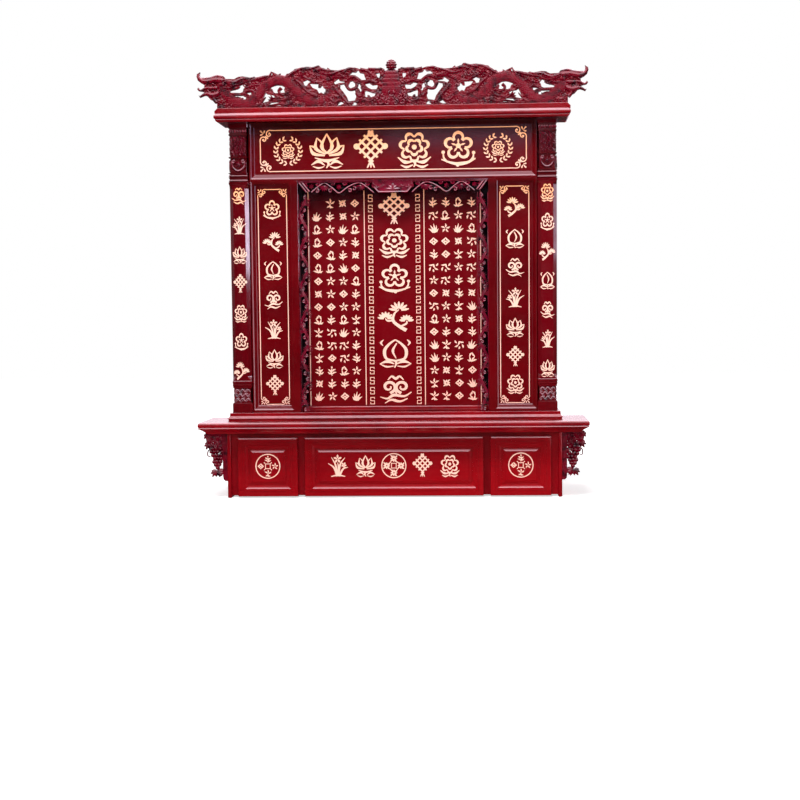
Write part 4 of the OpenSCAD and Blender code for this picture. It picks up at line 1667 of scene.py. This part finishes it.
@dataclass
class Valance(Assembly):
    """The carved strip that hangs at the top of the niche, measured from its lower edge."""

    thick: float = 9.0
    wave: Points = pairs(
        186, 4, 171, 16, 156, 24, 140, 15, 123, 2, 107, 12, 90, 21, 74, 23.5, 58, 14, 44, 2,
    )
    flowers: Spots = ((123, 16, 6.6), (44, 17, 5.4), (186, 18, 6.2))
    fans: Numbers = (156, 74)
    scrolls: tuple[Edge, ...] = (
        (110, 24, 1.2, 180), (136, 24, -1.2, 0), (58, 23, 1.1, 180), (98, 7, 1.1, 40), (142, 7, -1.1, 140),
        (173, 7, 1.2, 60), (199, 22, 1.2, 200), (170, 23, -1.2, 0), (88, 11, 1.1, 60),
    )
    panel: Points = pairs(-46, 28, -46, 17, -33, 2, 33, 2, 46, 17, 46, 28)
    panel_rim: Points = pairs(-45, 27, -45, 17, -33, 3, 33, 3, 45, 17, 45, 27)

    def ribbon(self, points: Sequence[Point], width: float = 1.6, w: float = 6.6) -> None:
        """Carves a ribbon with a round back.

        Args:
            points: The points it passes.
            width: Its half width.
            w: Height of its middle.
        """
        path = smooth([(u, v, w) for u, v in points], 5)
        self.form.tube(path, (width * 0.9, width, width * 0.9), 8, flat=1.25)

    def curl(self, centre: Point, size: float, turn: float, start: float) -> None:
        """Carves a small curl."""
        self.form.curl((*centre, 5.5), (size, size * 0.16), turn, start, (1.9, 1.6, 1.0), flat=1.3)

    def flower(self, centre: Point, size: float) -> None:
        """Carves an open flower of six petals.

        Args:
            centre: Its middle.
            size: The length of its petals.
        """
        for i in range(6):
            self.form.leaf((*centre, 4.6), 60 * i + 30, size, size * 0.7, 3.6)
        self.form.bead((*centre, 6.6), (size * 0.3, size * 0.3, 2.2), 1)

    def build(self) -> None:
        """Builds and dresses the valance."""
        box = Box.of("valance")
        top, reach = box.high.z - box.low.z, box.high.x
        self.form.block((-reach, top - 5.5, 0), (reach, top, 4.5), 0.8)
        self.form.block((-reach, top - 3.6, 3.5), (reach, top, self.thick), 1.0)
        for s in (-1, 1):
            self.ribbon([(s * u, v) for u, v in self.wave])
            self.ribbon([(s * (reach - 2), top - 4), (s * 197, 4)], 2.4)
            self.ribbon([(s * (reach - 9), top - 4), (s * 191, 6)], 2.4, 5.6)
            for u, v, size in self.flowers:
                self.flower((s * u, v), size)
            for u in self.fans:
                for i in range(7):
                    self.form.leaf((s * u, 18, 4), 270 + (i - 3) * 26, 13, 4.6, 2.6)
                self.form.bead((s * u, 17, 6), (3.4, 3.0, 2.6), 1)
            for u, v, turn, start in self.scrolls:
                self.curl((s * u, v), 5.2, turn * s, start if s > 0 else 180 - start)
        self.cartouche()
        place = Matrix.Translation((0, 0, box.low.z)) @ on_face(box.high.y)
        self.form.placed("niche_valance", self.finishes.strip, "carving", "valance", turn=place)

    def cartouche(self) -> None:
        """Carves the panel in the middle, with its rim, leaves and curls."""
        self.form.plate(self.panel, 2.0, 5.0)
        self.form.tube([(u, v, 5.8) for u, v in self.panel_rim], (2.0, 2.0, 2.0), 6)
        self.form.leaf((0, 9, 5), 90, 15, 9, 2.8)
        for s in (-1, 1):
            self.form.leaf((0, 9, 5), 90 + s * 48, 15, 7, 2.6)
            self.form.leaf((0, 9, 5), 90 + s * 84, 17, 6, 2.4)
            self.curl((s * 24, 18), 4.6, 1.2 * s, 90)
            self.curl((s * 34, 15), 4.2, -1.2 * s, 90)
            self.form.leaf((s * 14, 20, 5), 90 - s * 70, 13, 5, 2.4)


@dataclass
class SideStrip(Half):
    """A carved strip of ribbon and leaves down one side of the niche."""

    pitch: float = 80.0
    thick: float = 9.0
    cords: Spots = ((-3.4, 1.25, 0.8), (0, 1.0, -1.4), (3.4, 1.25, 0.8))
    scrolls: Spots = ((0.34, 4.4, 1.4), (-0.36, 4.2, -1.4))
    leaves: Spots = ((-6, 0.1, 30), (-6, -0.34, 14), (3, 0.44, 60), (-2, 0.24, 120), (3, -0.5, -60))

    def build(self) -> None:
        """Builds and dresses the strip."""
        node = f"side_strip_{self.word}"
        box = Box.of(node)
        inner, outer = sorted((abs(box.low.x), abs(box.high.x)))
        low, high = box.low.z, box.high.z
        self.form.block((inner, low, 0), (inner + 1.2, high, self.thick - 6), 0.4)
        self.form.block((outer - 1.8, low, 0), (outer, high, self.thick - 4), 0.5)
        wave: list[Spot] = []
        count = int((high - low) / self.pitch * 2)
        step = (high - low) / count
        for i in range(count + 1):
            wave.append((outer - 3.5 if i % 2 else inner + 4, low + i * step, 5.4))
            if i < count:
                wave.append(((inner + outer) / 2 + (-1.5 if i % 2 else 1.5), low + (i + 0.5) * step, 6.4))
        path = [point for point in smooth(wave, 4) if low + 4 < point.y < high - 4]
        for shift, radius, rise in self.cords:
            self.form.tube([point + Vector((0, shift, rise)) for point in path], (radius, radius, radius), 6)
        for i in range(count):
            near = i % 2
            v = low + (i + 0.5) * step
            self.spray(inner + 8.5 if near else outer - 8, v, 1 if near else -1, step)
        matrix = on_face(box.high.y) @ self.side.mirror
        self.form.placed(f"niche_strip_{self.word}", self.finishes.strip, "carving", node, turn=matrix)

    def spray(self, u: float, v: float, lean: int, step: float) -> None:
        """Carves the leaves and curls in one bay of the ribbon.

        Args:
            u: The bay's middle, across.
            v: The bay's middle, upwards.
            lean: Which way the bay opens.
            step: The bay's height.
        """
        for i in range(9):
            self.form.leaf((u, v - 3, 3.6), 90 + lean * (i - 4) * 24 + lean * 10, 12.5, 2.7, 3.0, 0.2 * lean)
        self.form.bead((u, v - 3, 5.4), (2.2, 2.2, 2.4), 1)
        for dv, size, turn in self.scrolls:
            eye = u + lean * 1.6, v + step * dv, 5.0
            self.form.curl(eye, (size, 0.8), turn * lean, 90, (1.2, 1.1, 0.7))
        for du, dv, angle in self.leaves:
            self.form.leaf((u + lean * du, v + step * dv, 3.8), 90 + lean * angle, 9.0, 2.5, 2.6, 0.2)


@dataclass
class CrestingRail(Assembly):
    """The narrow rail that the dragons stand on. Each step is (height, inset at ends, inset at faces)."""

    steps: Spots = (
        (0, 0, 0), (5.5, 0, 0), (6.4, 1.2, 0), (8, 3.0, 0), (9.6, 4.4, 0), (10.8, 5.6, 0), (11.4, 6.6, 0.3),
        (12, 7.2, 1.6),
    )

    def build(self) -> None:
        """Builds and dresses the rail."""
        box = Box.of("cresting_rail")
        self.form.stack([(box.low.x + d, box.high.x - d, box.low.y + e, box.high.y - e, box.low.z + z)
                         for z, d, e in self.steps])
        self.form.placed("crest_rail", self.finishes.red, "lacquer", "cresting_rail", crease=22)


@dataclass
class Dragon(Half):
    """One of the two dragons that run outwards from the finial."""

    foot: float = 885.0
    back: float = -5.0
    face: float = 4.6
    scale: float = 3.4
    trunk: Spot = (11.5, 12.5, 5.0)
    trunk_flat: float = 0.6
    scale_rows: tuple[Numbers, ...] = ((-1.5, -0.5, 0.5, 1.5), (-2, -1, 0, 1, 2))
    seed: int = 23
    lowest: float = 5.0
    most_curls: int = 95
    outline: Points = pairs(
        36, 0, 397, 0, 397, 9, 397, 15, 402, 16, 412, 20, 419, 28, 426, 30, 436, 25, 439, 30, 436, 29,
        432, 29, 424, 36, 433, 39, 439, 40, 442, 44, 439, 48, 438, 44, 433, 42, 428, 43, 420, 45, 420, 50,
        434, 58, 440, 63, 443, 72, 442, 77, 435, 82, 436, 76, 434, 69, 420, 70, 393, 74, 385, 73, 380, 71,
        376, 66, 357, 65, 348, 70, 338, 71, 320, 68, 311, 70, 304, 66, 300, 68, 294, 67, 291, 71, 281, 72,
        271, 71, 269, 73, 273, 81, 264, 77, 254, 72, 243, 69, 226, 78, 219, 85, 204, 88, 191, 90, 172, 88,
        168, 92, 163, 92, 157, 86, 146, 82, 144, 87, 137, 82, 129, 81, 113, 80, 102, 81, 97, 86, 82, 86,
        66, 81, 59, 83, 48, 83, 43, 82, 38, 85, 31, 84, 23, 85, 15, 81, 19, 60, 20, 45, 22, 28, 30, 6,
    )
    openings: tuple[Points, ...] = (
        pairs(345, 54, 332, 52, 332, 47, 336, 43, 338, 36, 343, 34, 369, 35, 370, 37, 363, 40, 349, 43,
              344, 47),
        pairs(359, 28, 355, 19, 351, 18, 347, 24, 344, 25, 337, 19, 329, 19, 328, 22, 331, 26, 325, 28,
              318, 30, 315, 33, 321, 35, 328, 34, 333, 30, 338, 28),
        pairs(275, 44, 270, 48, 259, 50, 249, 49, 241, 44, 244, 40, 242, 33, 266, 32, 270, 41),
        pairs(286, 33, 282, 30, 262, 27, 264, 23, 272, 22, 280, 14, 298, 10, 294, 15, 290, 25),
        pairs(280, 5, 274, 11, 262, 12, 254, 10, 248, 4),
        pairs(205, 6, 198, 9, 198, 15, 189, 11, 176, 5, 180, 4),
        pairs(200, 57, 187, 62, 176, 60, 178, 57, 187, 54, 192, 47, 197, 48),
        pairs(185, 52, 165, 51, 166, 43, 162, 42, 156, 48, 154, 42, 149, 39, 148, 28, 154, 29, 159, 32,
              164, 30, 168, 38, 179, 43),
        pairs(131, 54, 120, 62, 117, 57, 105, 55, 106, 53, 120, 52, 125, 48),
        pairs(121, 47, 106, 50, 103, 43, 93, 37, 83, 38, 81, 27, 80, 20, 83, 13, 97, 11, 101, 21, 108, 31),
        pairs(124, 3, 114, 12, 106, 12, 109, 6, 116, 3),
        pairs(94, 7, 83, 9, 78, 5, 81, 2, 89, 2),
        pairs(95, 70, 88, 76, 80, 75, 75, 80, 71, 74, 62, 72, 60, 64, 57, 58, 67, 58, 74, 64, 82, 69),
        pairs(97, 47, 93, 55, 85, 57, 82, 53, 82, 44, 92, 40, 96, 43),
        pairs(78, 51, 73, 50, 67, 42, 66, 36, 70, 32, 73, 39, 79, 41),
        pairs(60, 49, 50, 51, 43, 46, 32, 47, 31, 43, 34, 37, 45, 37, 53, 41),
        pairs(60, 31, 58, 34, 51, 32, 43, 29, 36, 28, 38, 22, 48, 19, 59, 20),
        pairs(34, 72, 26, 73, 25.6, 67, 27.6, 61.5, 32, 65),
    )
    body: Points = pairs(
        392, 52, 376, 30, 352, 12, 324, 10, 305, 28, 288, 50, 262, 61, 238, 58, 221, 42, 204, 22, 180, 11,
        156, 13, 142, 28, 139, 48, 152, 66, 176, 75, 196, 76,
    )
    strands: tuple[Numbers, ...] = (
        (3.2, 386, 66, 360, 58, 338, 66, 318, 66), (3.2, 380, 60, 352, 52, 330, 60, 305, 64),
        (2.8, 392, 46, 366, 46, 346, 58, 322, 58), (3.4, 318, 62, 300, 66, 284, 70, 270, 71),
        (3, 300, 60, 284, 64, 276, 72, 272, 80), (3.2, 262, 70, 245, 66, 228, 74, 212, 84),
        (3.4, 236, 68, 222, 78, 204, 86, 186, 88), (3, 196, 84, 180, 86, 166, 91),
        (3.4, 176, 80, 160, 84, 146, 81, 130, 80), (3.6, 158, 76, 140, 72, 120, 78, 98, 84),
        (3.4, 132, 66, 118, 70, 104, 66, 98, 74), (3, 110, 76, 96, 84, 80, 84),
        (3.2, 142, 58, 126, 66, 108, 64, 96, 60), (3, 100, 60, 84, 66, 70, 56, 56, 56),
        (3.6, 128, 40, 112, 22, 100, 8, 86, 6), (3.2, 142, 20, 128, 10, 118, 14, 104, 6),
        (3, 104, 50, 96, 38, 80, 40, 74, 54), (3.4, 80, 30, 70, 22, 62, 38, 46, 34),
        (3.6, 76, 12, 62, 14, 50, 10, 36, 18), (3.4, 62, 54, 46, 56, 34, 52, 26, 58),
        (3.2, 70, 82, 54, 78, 44, 68, 48, 58), (2.8, 52, 82, 36, 82, 24, 82),
        (3.2, 224, 30, 236, 20, 252, 16, 268, 16), (3, 220, 14, 236, 6, 254, 8, 286, 4),
        (3.2, 344, 8, 362, 16, 372, 8, 392, 10), (3.2, 330, 4, 312, 4, 300, 8, 286, 24),
        (3, 310, 34, 322, 40, 340, 30, 362, 32), (3, 288, 44, 306, 52, 328, 46, 340, 54),
        (3, 250, 44, 256, 36, 246, 28, 236, 32), (3.4, 196, 40, 206, 52, 216, 62, 206, 70),
        (3.2, 168, 24, 184, 30, 196, 40, 200, 50), (3, 172, 54, 184, 60, 196, 66, 208, 66),
    )
    tufts: Spots = (
        (268, 18, 20), (268, 18, -12), (268, 18, 48), (206, 68, 60), (206, 68, 100), (206, 68, 140),
        (340, 54, 70), (340, 54, 30), (236, 32, 200), (236, 32, 240),
    )
    head: tuple[tuple[Spot, Points], ...] = (
        ((7.5, 5.6, 2.2), pairs(382, 62, 400, 64, 418, 61, 431, 63, 438, 70, 440, 78)),
        ((6.5, 4.6, 1.5), pairs(392, 34, 406, 30, 418, 33, 426, 32, 436, 27)),
        ((3.4, 3.2, 1.8), pairs(384, 70, 396, 72, 410, 68, 424, 67, 434, 66)),
        ((4.2, 3, 1.2), pairs(396, 46, 410, 46, 422, 46, 434, 41, 440, 46)),
        ((2.6, 2, 0.8), pairs(418, 56, 424, 50, 422, 45)),
        ((2.4, 1.8, 0.8), pairs(410, 34, 417, 40, 416, 45)),
        ((2.6, 2.8, 1.6), pairs(390, 56, 398, 60, 408, 60, 414, 56)),
        ((4.5, 4, 3), pairs(398, 14, 404, 22, 398, 30)),
    )

    def curls(self) -> None:
        """Carves small cloud curls along the foot and in the dragon's empty stretches."""
        rng = random.Random(self.seed)
        spots = [(u, self.lowest) for u in range(44, 396, 12)]
        while len(spots) < self.most_curls:
            spots.append((rng.uniform(44, 392), rng.uniform(12, 84)))
        for u, v in spots:
            if not within((u, v), self.outline) or any(within((u, v), hole) for hole in self.openings):
                continue
            size = rng.uniform(3.4, 5.6) if v > self.lowest else 4.6
            turn, start = rng.choice((-1.3, 1.3)), rng.uniform(0, 360)
            eye, reach = (u, v, self.face + 0.2), (size, size * 0.18)
            self.form.curl(eye, reach, turn, start, (1.7, 1.5, 0.8), 5, 11, 1.1)

    def lock(self, points: Sequence[Point], width: float) -> None:
        """Carves a lock of mane or cloud as three hairs that meet at its tip.

        Args:
            points: The points it passes.
            width: Its half width.
        """
        path = smooth(points, 5)
        for share in (-0.75, 0.0, 0.75):
            hair = []
            for i, here in enumerate(path):
                on = ahead(path, i)
                across = Vector((-on.y, on.x)) * width * share * (1 - i / len(path)) ** 0.7
                hair.append((here.x + across.x, here.y + across.y, self.face + (0.7 if share == 0 else 0.0)))
            self.form.tube(hair, (width * 0.42, width * 0.44, 0.5), 6, flat=1.5)

    def carve(self) -> None:
        """Carves one face of the dragon."""
        for width, *points in self.strands:
            self.lock(pairs(*points), width)
        for u, v, angle in self.tufts:
            self.form.leaf((u, v, self.face), angle, 13, 4.4, 3.2, 0.2)
        for radii, points in self.head:
            path = smooth([(*p, self.face + 0.4) for p in points], 5)
            self.form.tube(path, radii, 8, flat=0.9)
        self.form.bead((405, 54, self.face + 2.4), (3.6, 3.4, 3.0), 2)
        self.form.bead((386, 54, self.face - 1), (9, 8, 5.4), 2)
        self.curls()

    def scales(self, path: Sequence[Vector]) -> None:
        """Carves rows of small scales along the body.

        Args:
            path: The body's middle line.
        """
        gone, row = 0.0, 0
        for i in range(2, len(path) - 2):
            step = path[i + 1] - path[i]
            gone += step.length
            if gone < self.scale:
                continue
            gone, row = gone - self.scale, row + 1
            across = Vector((-step.y, step.x, 0)).normalized()
            share = 1 - 0.5 * max(0.0, 2 * i / len(path) - 1)
            turn = math.degrees(math.atan2(step.y, step.x))
            for lean in (k * 0.42 for k in self.scale_rows[row % 2]):
                rise = Vector((0, 0, 7.0 * share * math.cos(lean)))
                spot = path[i] + across * 11.6 * share * math.sin(lean) + rise
                self.form.bead(spot, (3.1, 2.7 * share, 1.3), 1, turn)

    def fins(self, path: Sequence[Vector]) -> None:
        """Carves the row of fins along the back and the ridge along the belly.

        Args:
            path: The body's middle line.
        """
        belly = []
        for i in range(1, len(path) - 1):
            here, on = path[i], ahead(path, i)
            across = Vector((-on.y, on.x, 0))
            share = 1 - 0.55 * max(0.0, 2 * i / len(path) - 1)
            belly.append(here + across * 8.4 * share + Vector((0, 0, 4.4)))
            if i % 2:
                base = here - across * 9.0 * share + Vector((0, 0, 3.2))
                angle = math.degrees(math.atan2(-across.y, -across.x)) + 34
                self.form.leaf(base, angle, 7.6 * share, 4.4, 2.6, 0.15)
        self.form.tube(belly, (1.5, 1.5, 0.8), 6)

    def build(self) -> None:
        """Builds and dresses the dragon."""
        plate = Form()
        plate.plate(self.outline, self.back, self.face, self.openings)
        self.carve()
        carved = Form()
        carved.add_both(self.form)
        matrix = Matrix.Translation((0, 0, self.foot)) @ FACING_FRONT @ self.side.mirror
        plate.placed(f"dragon_ground_{self.word}", self.finishes.cut, "carving", f"dragon_{self.word}",
                     turn=matrix)
        carved.placed(f"dragon_carving_{self.word}", self.finishes.carved, "carving", turn=matrix)
        trunk = Form()
        path = smooth([(*p, 0.0) for p in self.body], 8)
        trunk.tube(path, self.trunk, 18, flat=self.trunk_flat)
        self.form = Form()
        self.fins(path[::2])
        self.scales(path)
        trunk.add_both(self.form)
        trunk.placed(f"dragon_body_{self.word}", self.finishes.scaled, "carving", turn=matrix)


def within(spot: Point, outline: Sequence[Point]) -> bool:
    """Tells whether a flat point lies inside an outline.

    Args:
        spot: The point.
        outline: The outline.

    Returns:
        Whether it lies inside.
    """
    inside = False
    for (x0, y0), (x1, y1) in zip(outline, (*outline[1:], outline[0])):
        if (y0 > spot[1]) != (y1 > spot[1]) and spot[0] < (x1 - x0) * (spot[1] - y0) / (y1 - y0) + x0:
            inside = not inside
    return inside


@dataclass
class Finial(Assembly):
    """The tiered jewel between the dragons."""

    half_widths: Points = pairs(
        33, 0, 35, 3, 35, 9, 32, 14, 29, 18, 27, 21, 28.5, 25, 29.6, 30, 29.8, 36, 28.8, 41, 27.2, 43.2,
        26.4, 44, 27.2, 44.8, 27.8, 47, 27.2, 50.4, 25.8, 52, 25, 52.8, 25.7, 53.6, 26, 56, 25.2, 59,
        23.8, 60.6, 23, 61.2, 23.6, 62, 23.8, 64.4, 22.8, 67.4, 21.4, 68.8, 20.8, 69.4, 21.4, 70.2,
        21.4, 73, 19.6, 76.4, 15.4, 78.6, 10, 79.8, 8.5, 81.5,
    )
    ball: float = 12.4
    ball_height: float = 90.5
    flatness: float = 0.72
    knob: Spot = (2.7, 2.4, 2.7)
    top: float = 82.0
    depth: float = 0.24
    knobs: tuple[tuple[float, int], ...] = ((0.0, 1), (0.5, 5), (1.0, 8), (1.5, 10), (2.05, 9), (2.6, 5))
    clouds: tuple[Edge, ...] = (
        (25, 9, 8, 1.4), (9, 7, 6.5, -1.4), (18, 19, 6, -1.3), (5, 18, 4.5, 1.3), (33, 18, 4.6, 1.3),
        (29, 27, 4.2, -1.3),
    )
    leaves: Spots = ((14, 4, 30), (24, 22, 70), (31, 6, 60), (8, 25, 120))

    def jewel(self) -> None:
        """Carves the curled knob on top."""
        arc = [(self.ball * 0.86 * math.sin(a), -self.ball * 0.9 * math.cos(a))
               for a in (math.pi * i / 12 for i in range(13))]
        arc[0], arc[-1] = (0.0, arc[0][1]), (0.0, arc[-1][1])
        squash = Matrix.Translation((0, 0, self.ball_height)) @ Matrix.Diagonal((1, self.flatness, 1, 1))
        self.form.lathe(arc, Vector(), 24, squash)
        reach = self.ball * 0.84
        for ring, count in self.knobs:
            for i in range(count):
                x, y = polar((0, 0), reach * math.sin(ring), math.tau * (i + 0.5 * ring) / count)
                spot = (x, y * self.flatness, self.ball_height + reach * math.cos(ring))
                self.form.bead(spot, self.knob, 2)

    def base(self) -> None:
        """Carves the clouds at the foot, on both faces."""
        relief = Form()
        for s in (-1, 1):
            for u, v, size, turn in self.clouds:
                relief.curl((s * u, v, 8.0), (size, 1), turn * s, 90, (2.3, 2.0, 1.0))
            for u, v, angle in self.leaves:
                relief.leaf((s * u, v, 6.6), angle if s > 0 else 180 - angle, 11, 5, 3.0)
        relief.leaf((0, 9, 7.4), 90, 14, 8, 3.0)
        self.form.add_both(relief, FACING_FRONT)

    def build(self) -> None:
        """Builds and dresses the finial."""
        place = Matrix.Translation((0, 0, Box.of("finial").low.z))
        barrel = Form()
        profile = [(0.0, 0.0), *self.half_widths, (0.0, self.top)]
        barrel.lathe(profile, Vector(), 48, Matrix.Diagonal((1, self.depth, 1, 1)))
        barrel.placed("finial_barrel", self.finishes.carved, "carving", "finial", turn=place)
        self.base()
        self.jewel()
        self.form.placed("finial_carving", self.finishes.carved, "carving", turn=place)


# ---- The studio ----


@dataclass(frozen=True)
class Lamp:
    """A soft rectangular lamp, which may only show in gloss (no fill) or only give light (no shine)."""

    name: str
    spot: Spot
    aim: Spot
    size: Point
    power: float
    tint: Spot
    shine: bool = True
    fill: bool = False

    def hang(self) -> None:
        """Hangs the lamp, pointed at its aim, out of the camera's sight."""
        data = bpy.data.lights.new(self.name, "AREA")
        data.shape, data.energy, data.color = "RECTANGLE", self.power, self.tint
        data.size, data.size_y = self.size
        facing = (Vector(self.aim) - Vector(self.spot)).to_track_quat("-Z", "Y").to_matrix().to_4x4()
        lamp = linked(self.name, data, Matrix.Translation(self.spot) @ facing)
        lamp.visible_camera, lamp.visible_glossy, lamp.visible_diffuse = False, self.shine, self.fill


@dataclass
class Studio:
    """The pale floor, soft lamps, surroundings and camera."""

    eye: Spot = (0.2136, -3.7, 0.4172)
    heading: float = 3.136
    dip: float = 5.053
    roll: float = -0.581
    lens: float = 72.62
    sensor: float = 36.0
    rise: float = 0.07
    floor_size: float = 14.0
    floor_glow: float = 0.62
    floor_tone: float = 0.8
    floor_in_gloss: float = 0.04
    sky: float = 10.0
    soft_light: float = 0.3
    glow_bands: Points = pairs(
        0, 0, 0.175, 0, 0.195, 0.55, 0.245, 0.55, 0.27, 0, 0.4, 0, 0.66, 1, 1, 1,
    )
    lamps: tuple[Lamp, ...] = (
        Lamp("key", (-0.3, -2.0, 3.4), (0, 0, 0.5), (1.6, 1.0), 135, (1, 0.98, 0.96), False, True),
        Lamp("front_fill", (0, -3.9, 1.0), (0, 0, 0.4), (2.0, 1.0), 60, (1, 0.98, 0.96), False, True),
        Lamp("far_gloss", (2.3, -0.36, 0.75), (-0.35, 0, 0.6), (0.13, 0.36), 3.2, (0.88, 0.78, 1.0)),
        Lamp("near_gloss", (2.3, 0.08, 0.77), (0.35, 0, 0.7), (0.13, 0.34), 0.6, (0.84, 0.78, 1.0)),
        Lamp("lip_gloss", (1.08, -2.3, 1.07), (-0.33, 0, 0.8), (0.25, 0.5), 2.4, (0.66, 0.58, 1.0)),
        Lamp("side_gloss", (1.05, -1.8, 0.47), (0, 0, 0.47), (0.5, 0.85), 7.0, (1.0, 0.78, 0.9)),
        Lamp("left_gloss", (-2.4, -0.6, 0.8), (0, 0, 0.5), (0.3, 1.4), 3, (0.9, 0.86, 1.0)),
        Lamp("front_gloss", (0.1, -3.7, 1.2), (0, 0, 0.8), (0.7, 0.06), 0.25, (0.7, 0.66, 1.0)),
    )

    def camera(self) -> None:
        """Places the camera."""
        data = bpy.data.cameras.new("camera")
        data.lens, data.sensor_width, data.shift_y = self.lens, self.sensor, self.rise
        turn = (Matrix.Rotation(math.radians(self.heading), 4, "Z")
                @ Matrix.Rotation(math.radians(90 - self.dip), 4, "X")
                @ Matrix.Rotation(math.radians(self.roll), 4, "Z"))
        bpy.context.scene.camera = linked("camera", data, Matrix.Translation(self.eye) @ turn)

    def surroundings(self) -> None:
        """Wires the world: white to look at, soft light on the object, dark in front for the gloss."""
        world = bpy.data.worlds.new("surroundings")
        bpy.context.scene.world = world
        wires = Wiring(world)
        wires.tree.nodes.clear()
        split = wires.add("SeparateXYZ", wires.add("TexCoord").outputs["Generated"]).outputs
        path = wires.add("LightPath").outputs
        bands = wires.blend(split["Z"], [(at, (level, level, level, 1)) for at, level in self.glow_bands])
        front = wires.maths("MULTIPLY", wires.ranged(split["Y"], 0.01, 1.2, -0.1, 0.7),
                            wires.ranged(split["Z"], 0.03, 1.0, -0.03, 0.03))
        glow = wires.maths("MAXIMUM", front, wires.maths("MULTIPLY", bands, self.sky))
        soft, shiny, white = (wires.add("Background", (*tint, 1), strength).outputs[0] for tint, strength in (
            ((0.95, 0.95, 1.0), self.soft_light), ((1.0, 0.83, 0.92), glow), ((1, 1, 1), 1.0)))
        gloss = wires.add("MixShader", path["Is Glossy Ray"], soft, shiny).outputs[0]
        seen = wires.add("MixShader", path["Is Camera Ray"], gloss, white).outputs[0]
        wires.add("OutputWorld", seen)

    def floor(self) -> None:
        """Lays the pale floor, which keeps the cabinet's shadow."""
        bm = bmesh.new()
        bmesh.ops.create_grid(bm, x_segments=1, y_segments=1, size=self.floor_size / 2)
        mesh = bpy.data.meshes.new("floor")
        bm.to_mesh(mesh)
        bm.free()
        material = bpy.data.materials.new("pale_floor")
        mesh.materials.append(material)
        wires = Wiring(material)
        wires.tree.nodes.clear()
        path = wires.add("LightPath").outputs
        place = wires.add("TexCoord").outputs["Object"]
        far = wires.add("VectorMath", place, operation="LENGTH").outputs["Value"]
        faded = wires.ranged(far, self.floor_glow, 1.0, 0.5, 1.6)
        glow = wires.maths("MULTIPLY", path["Is Camera Ray"], faded)
        matt = wires.add("BsdfDiffuse", (*[self.floor_tone] * 3, 1)).outputs[0]
        lit = wires.add("AddShader", matt, wires.add("Emission", None, glow).outputs[0]).outputs[0]
        mirrored = wires.add("Emission", None, self.floor_in_gloss).outputs[0]
        either = wires.add("MixShader", path["Is Glossy Ray"], lit, mirrored).outputs[0]
        wires.add("OutputMaterial", either)
        linked("floor", mesh)

    def build(self) -> None:
        """Sets up the whole studio."""
        bpy.context.scene.view_settings.view_transform = "Standard"
        self.camera()
        self.surroundings()
        self.floor()
        for lamp in self.lamps:
            lamp.hang()


# ---- The whole cabinet ----


def main() -> None:
    """Builds the cabinet in order, then the studio round it."""
    logging.basicConfig(level=logging.INFO, format="%(name)s: %(message)s")
    finishes = Finishes()
    shared = (finishes, GiltPainter(finishes.gilt))
    SideTable(*shared).build()
    for name in DRAWERS:
        Drawer(*shared, name).build()
    for whole in (Case, Valance, CrestingRail, Finial):
        whole(*shared).build()
    for side in Side:
        for half in (GrapeBracket, Column, SideStrip, Dragon):
            half(*shared, side).build()
    Studio().build()


if __name__ == "__main__":
    main()
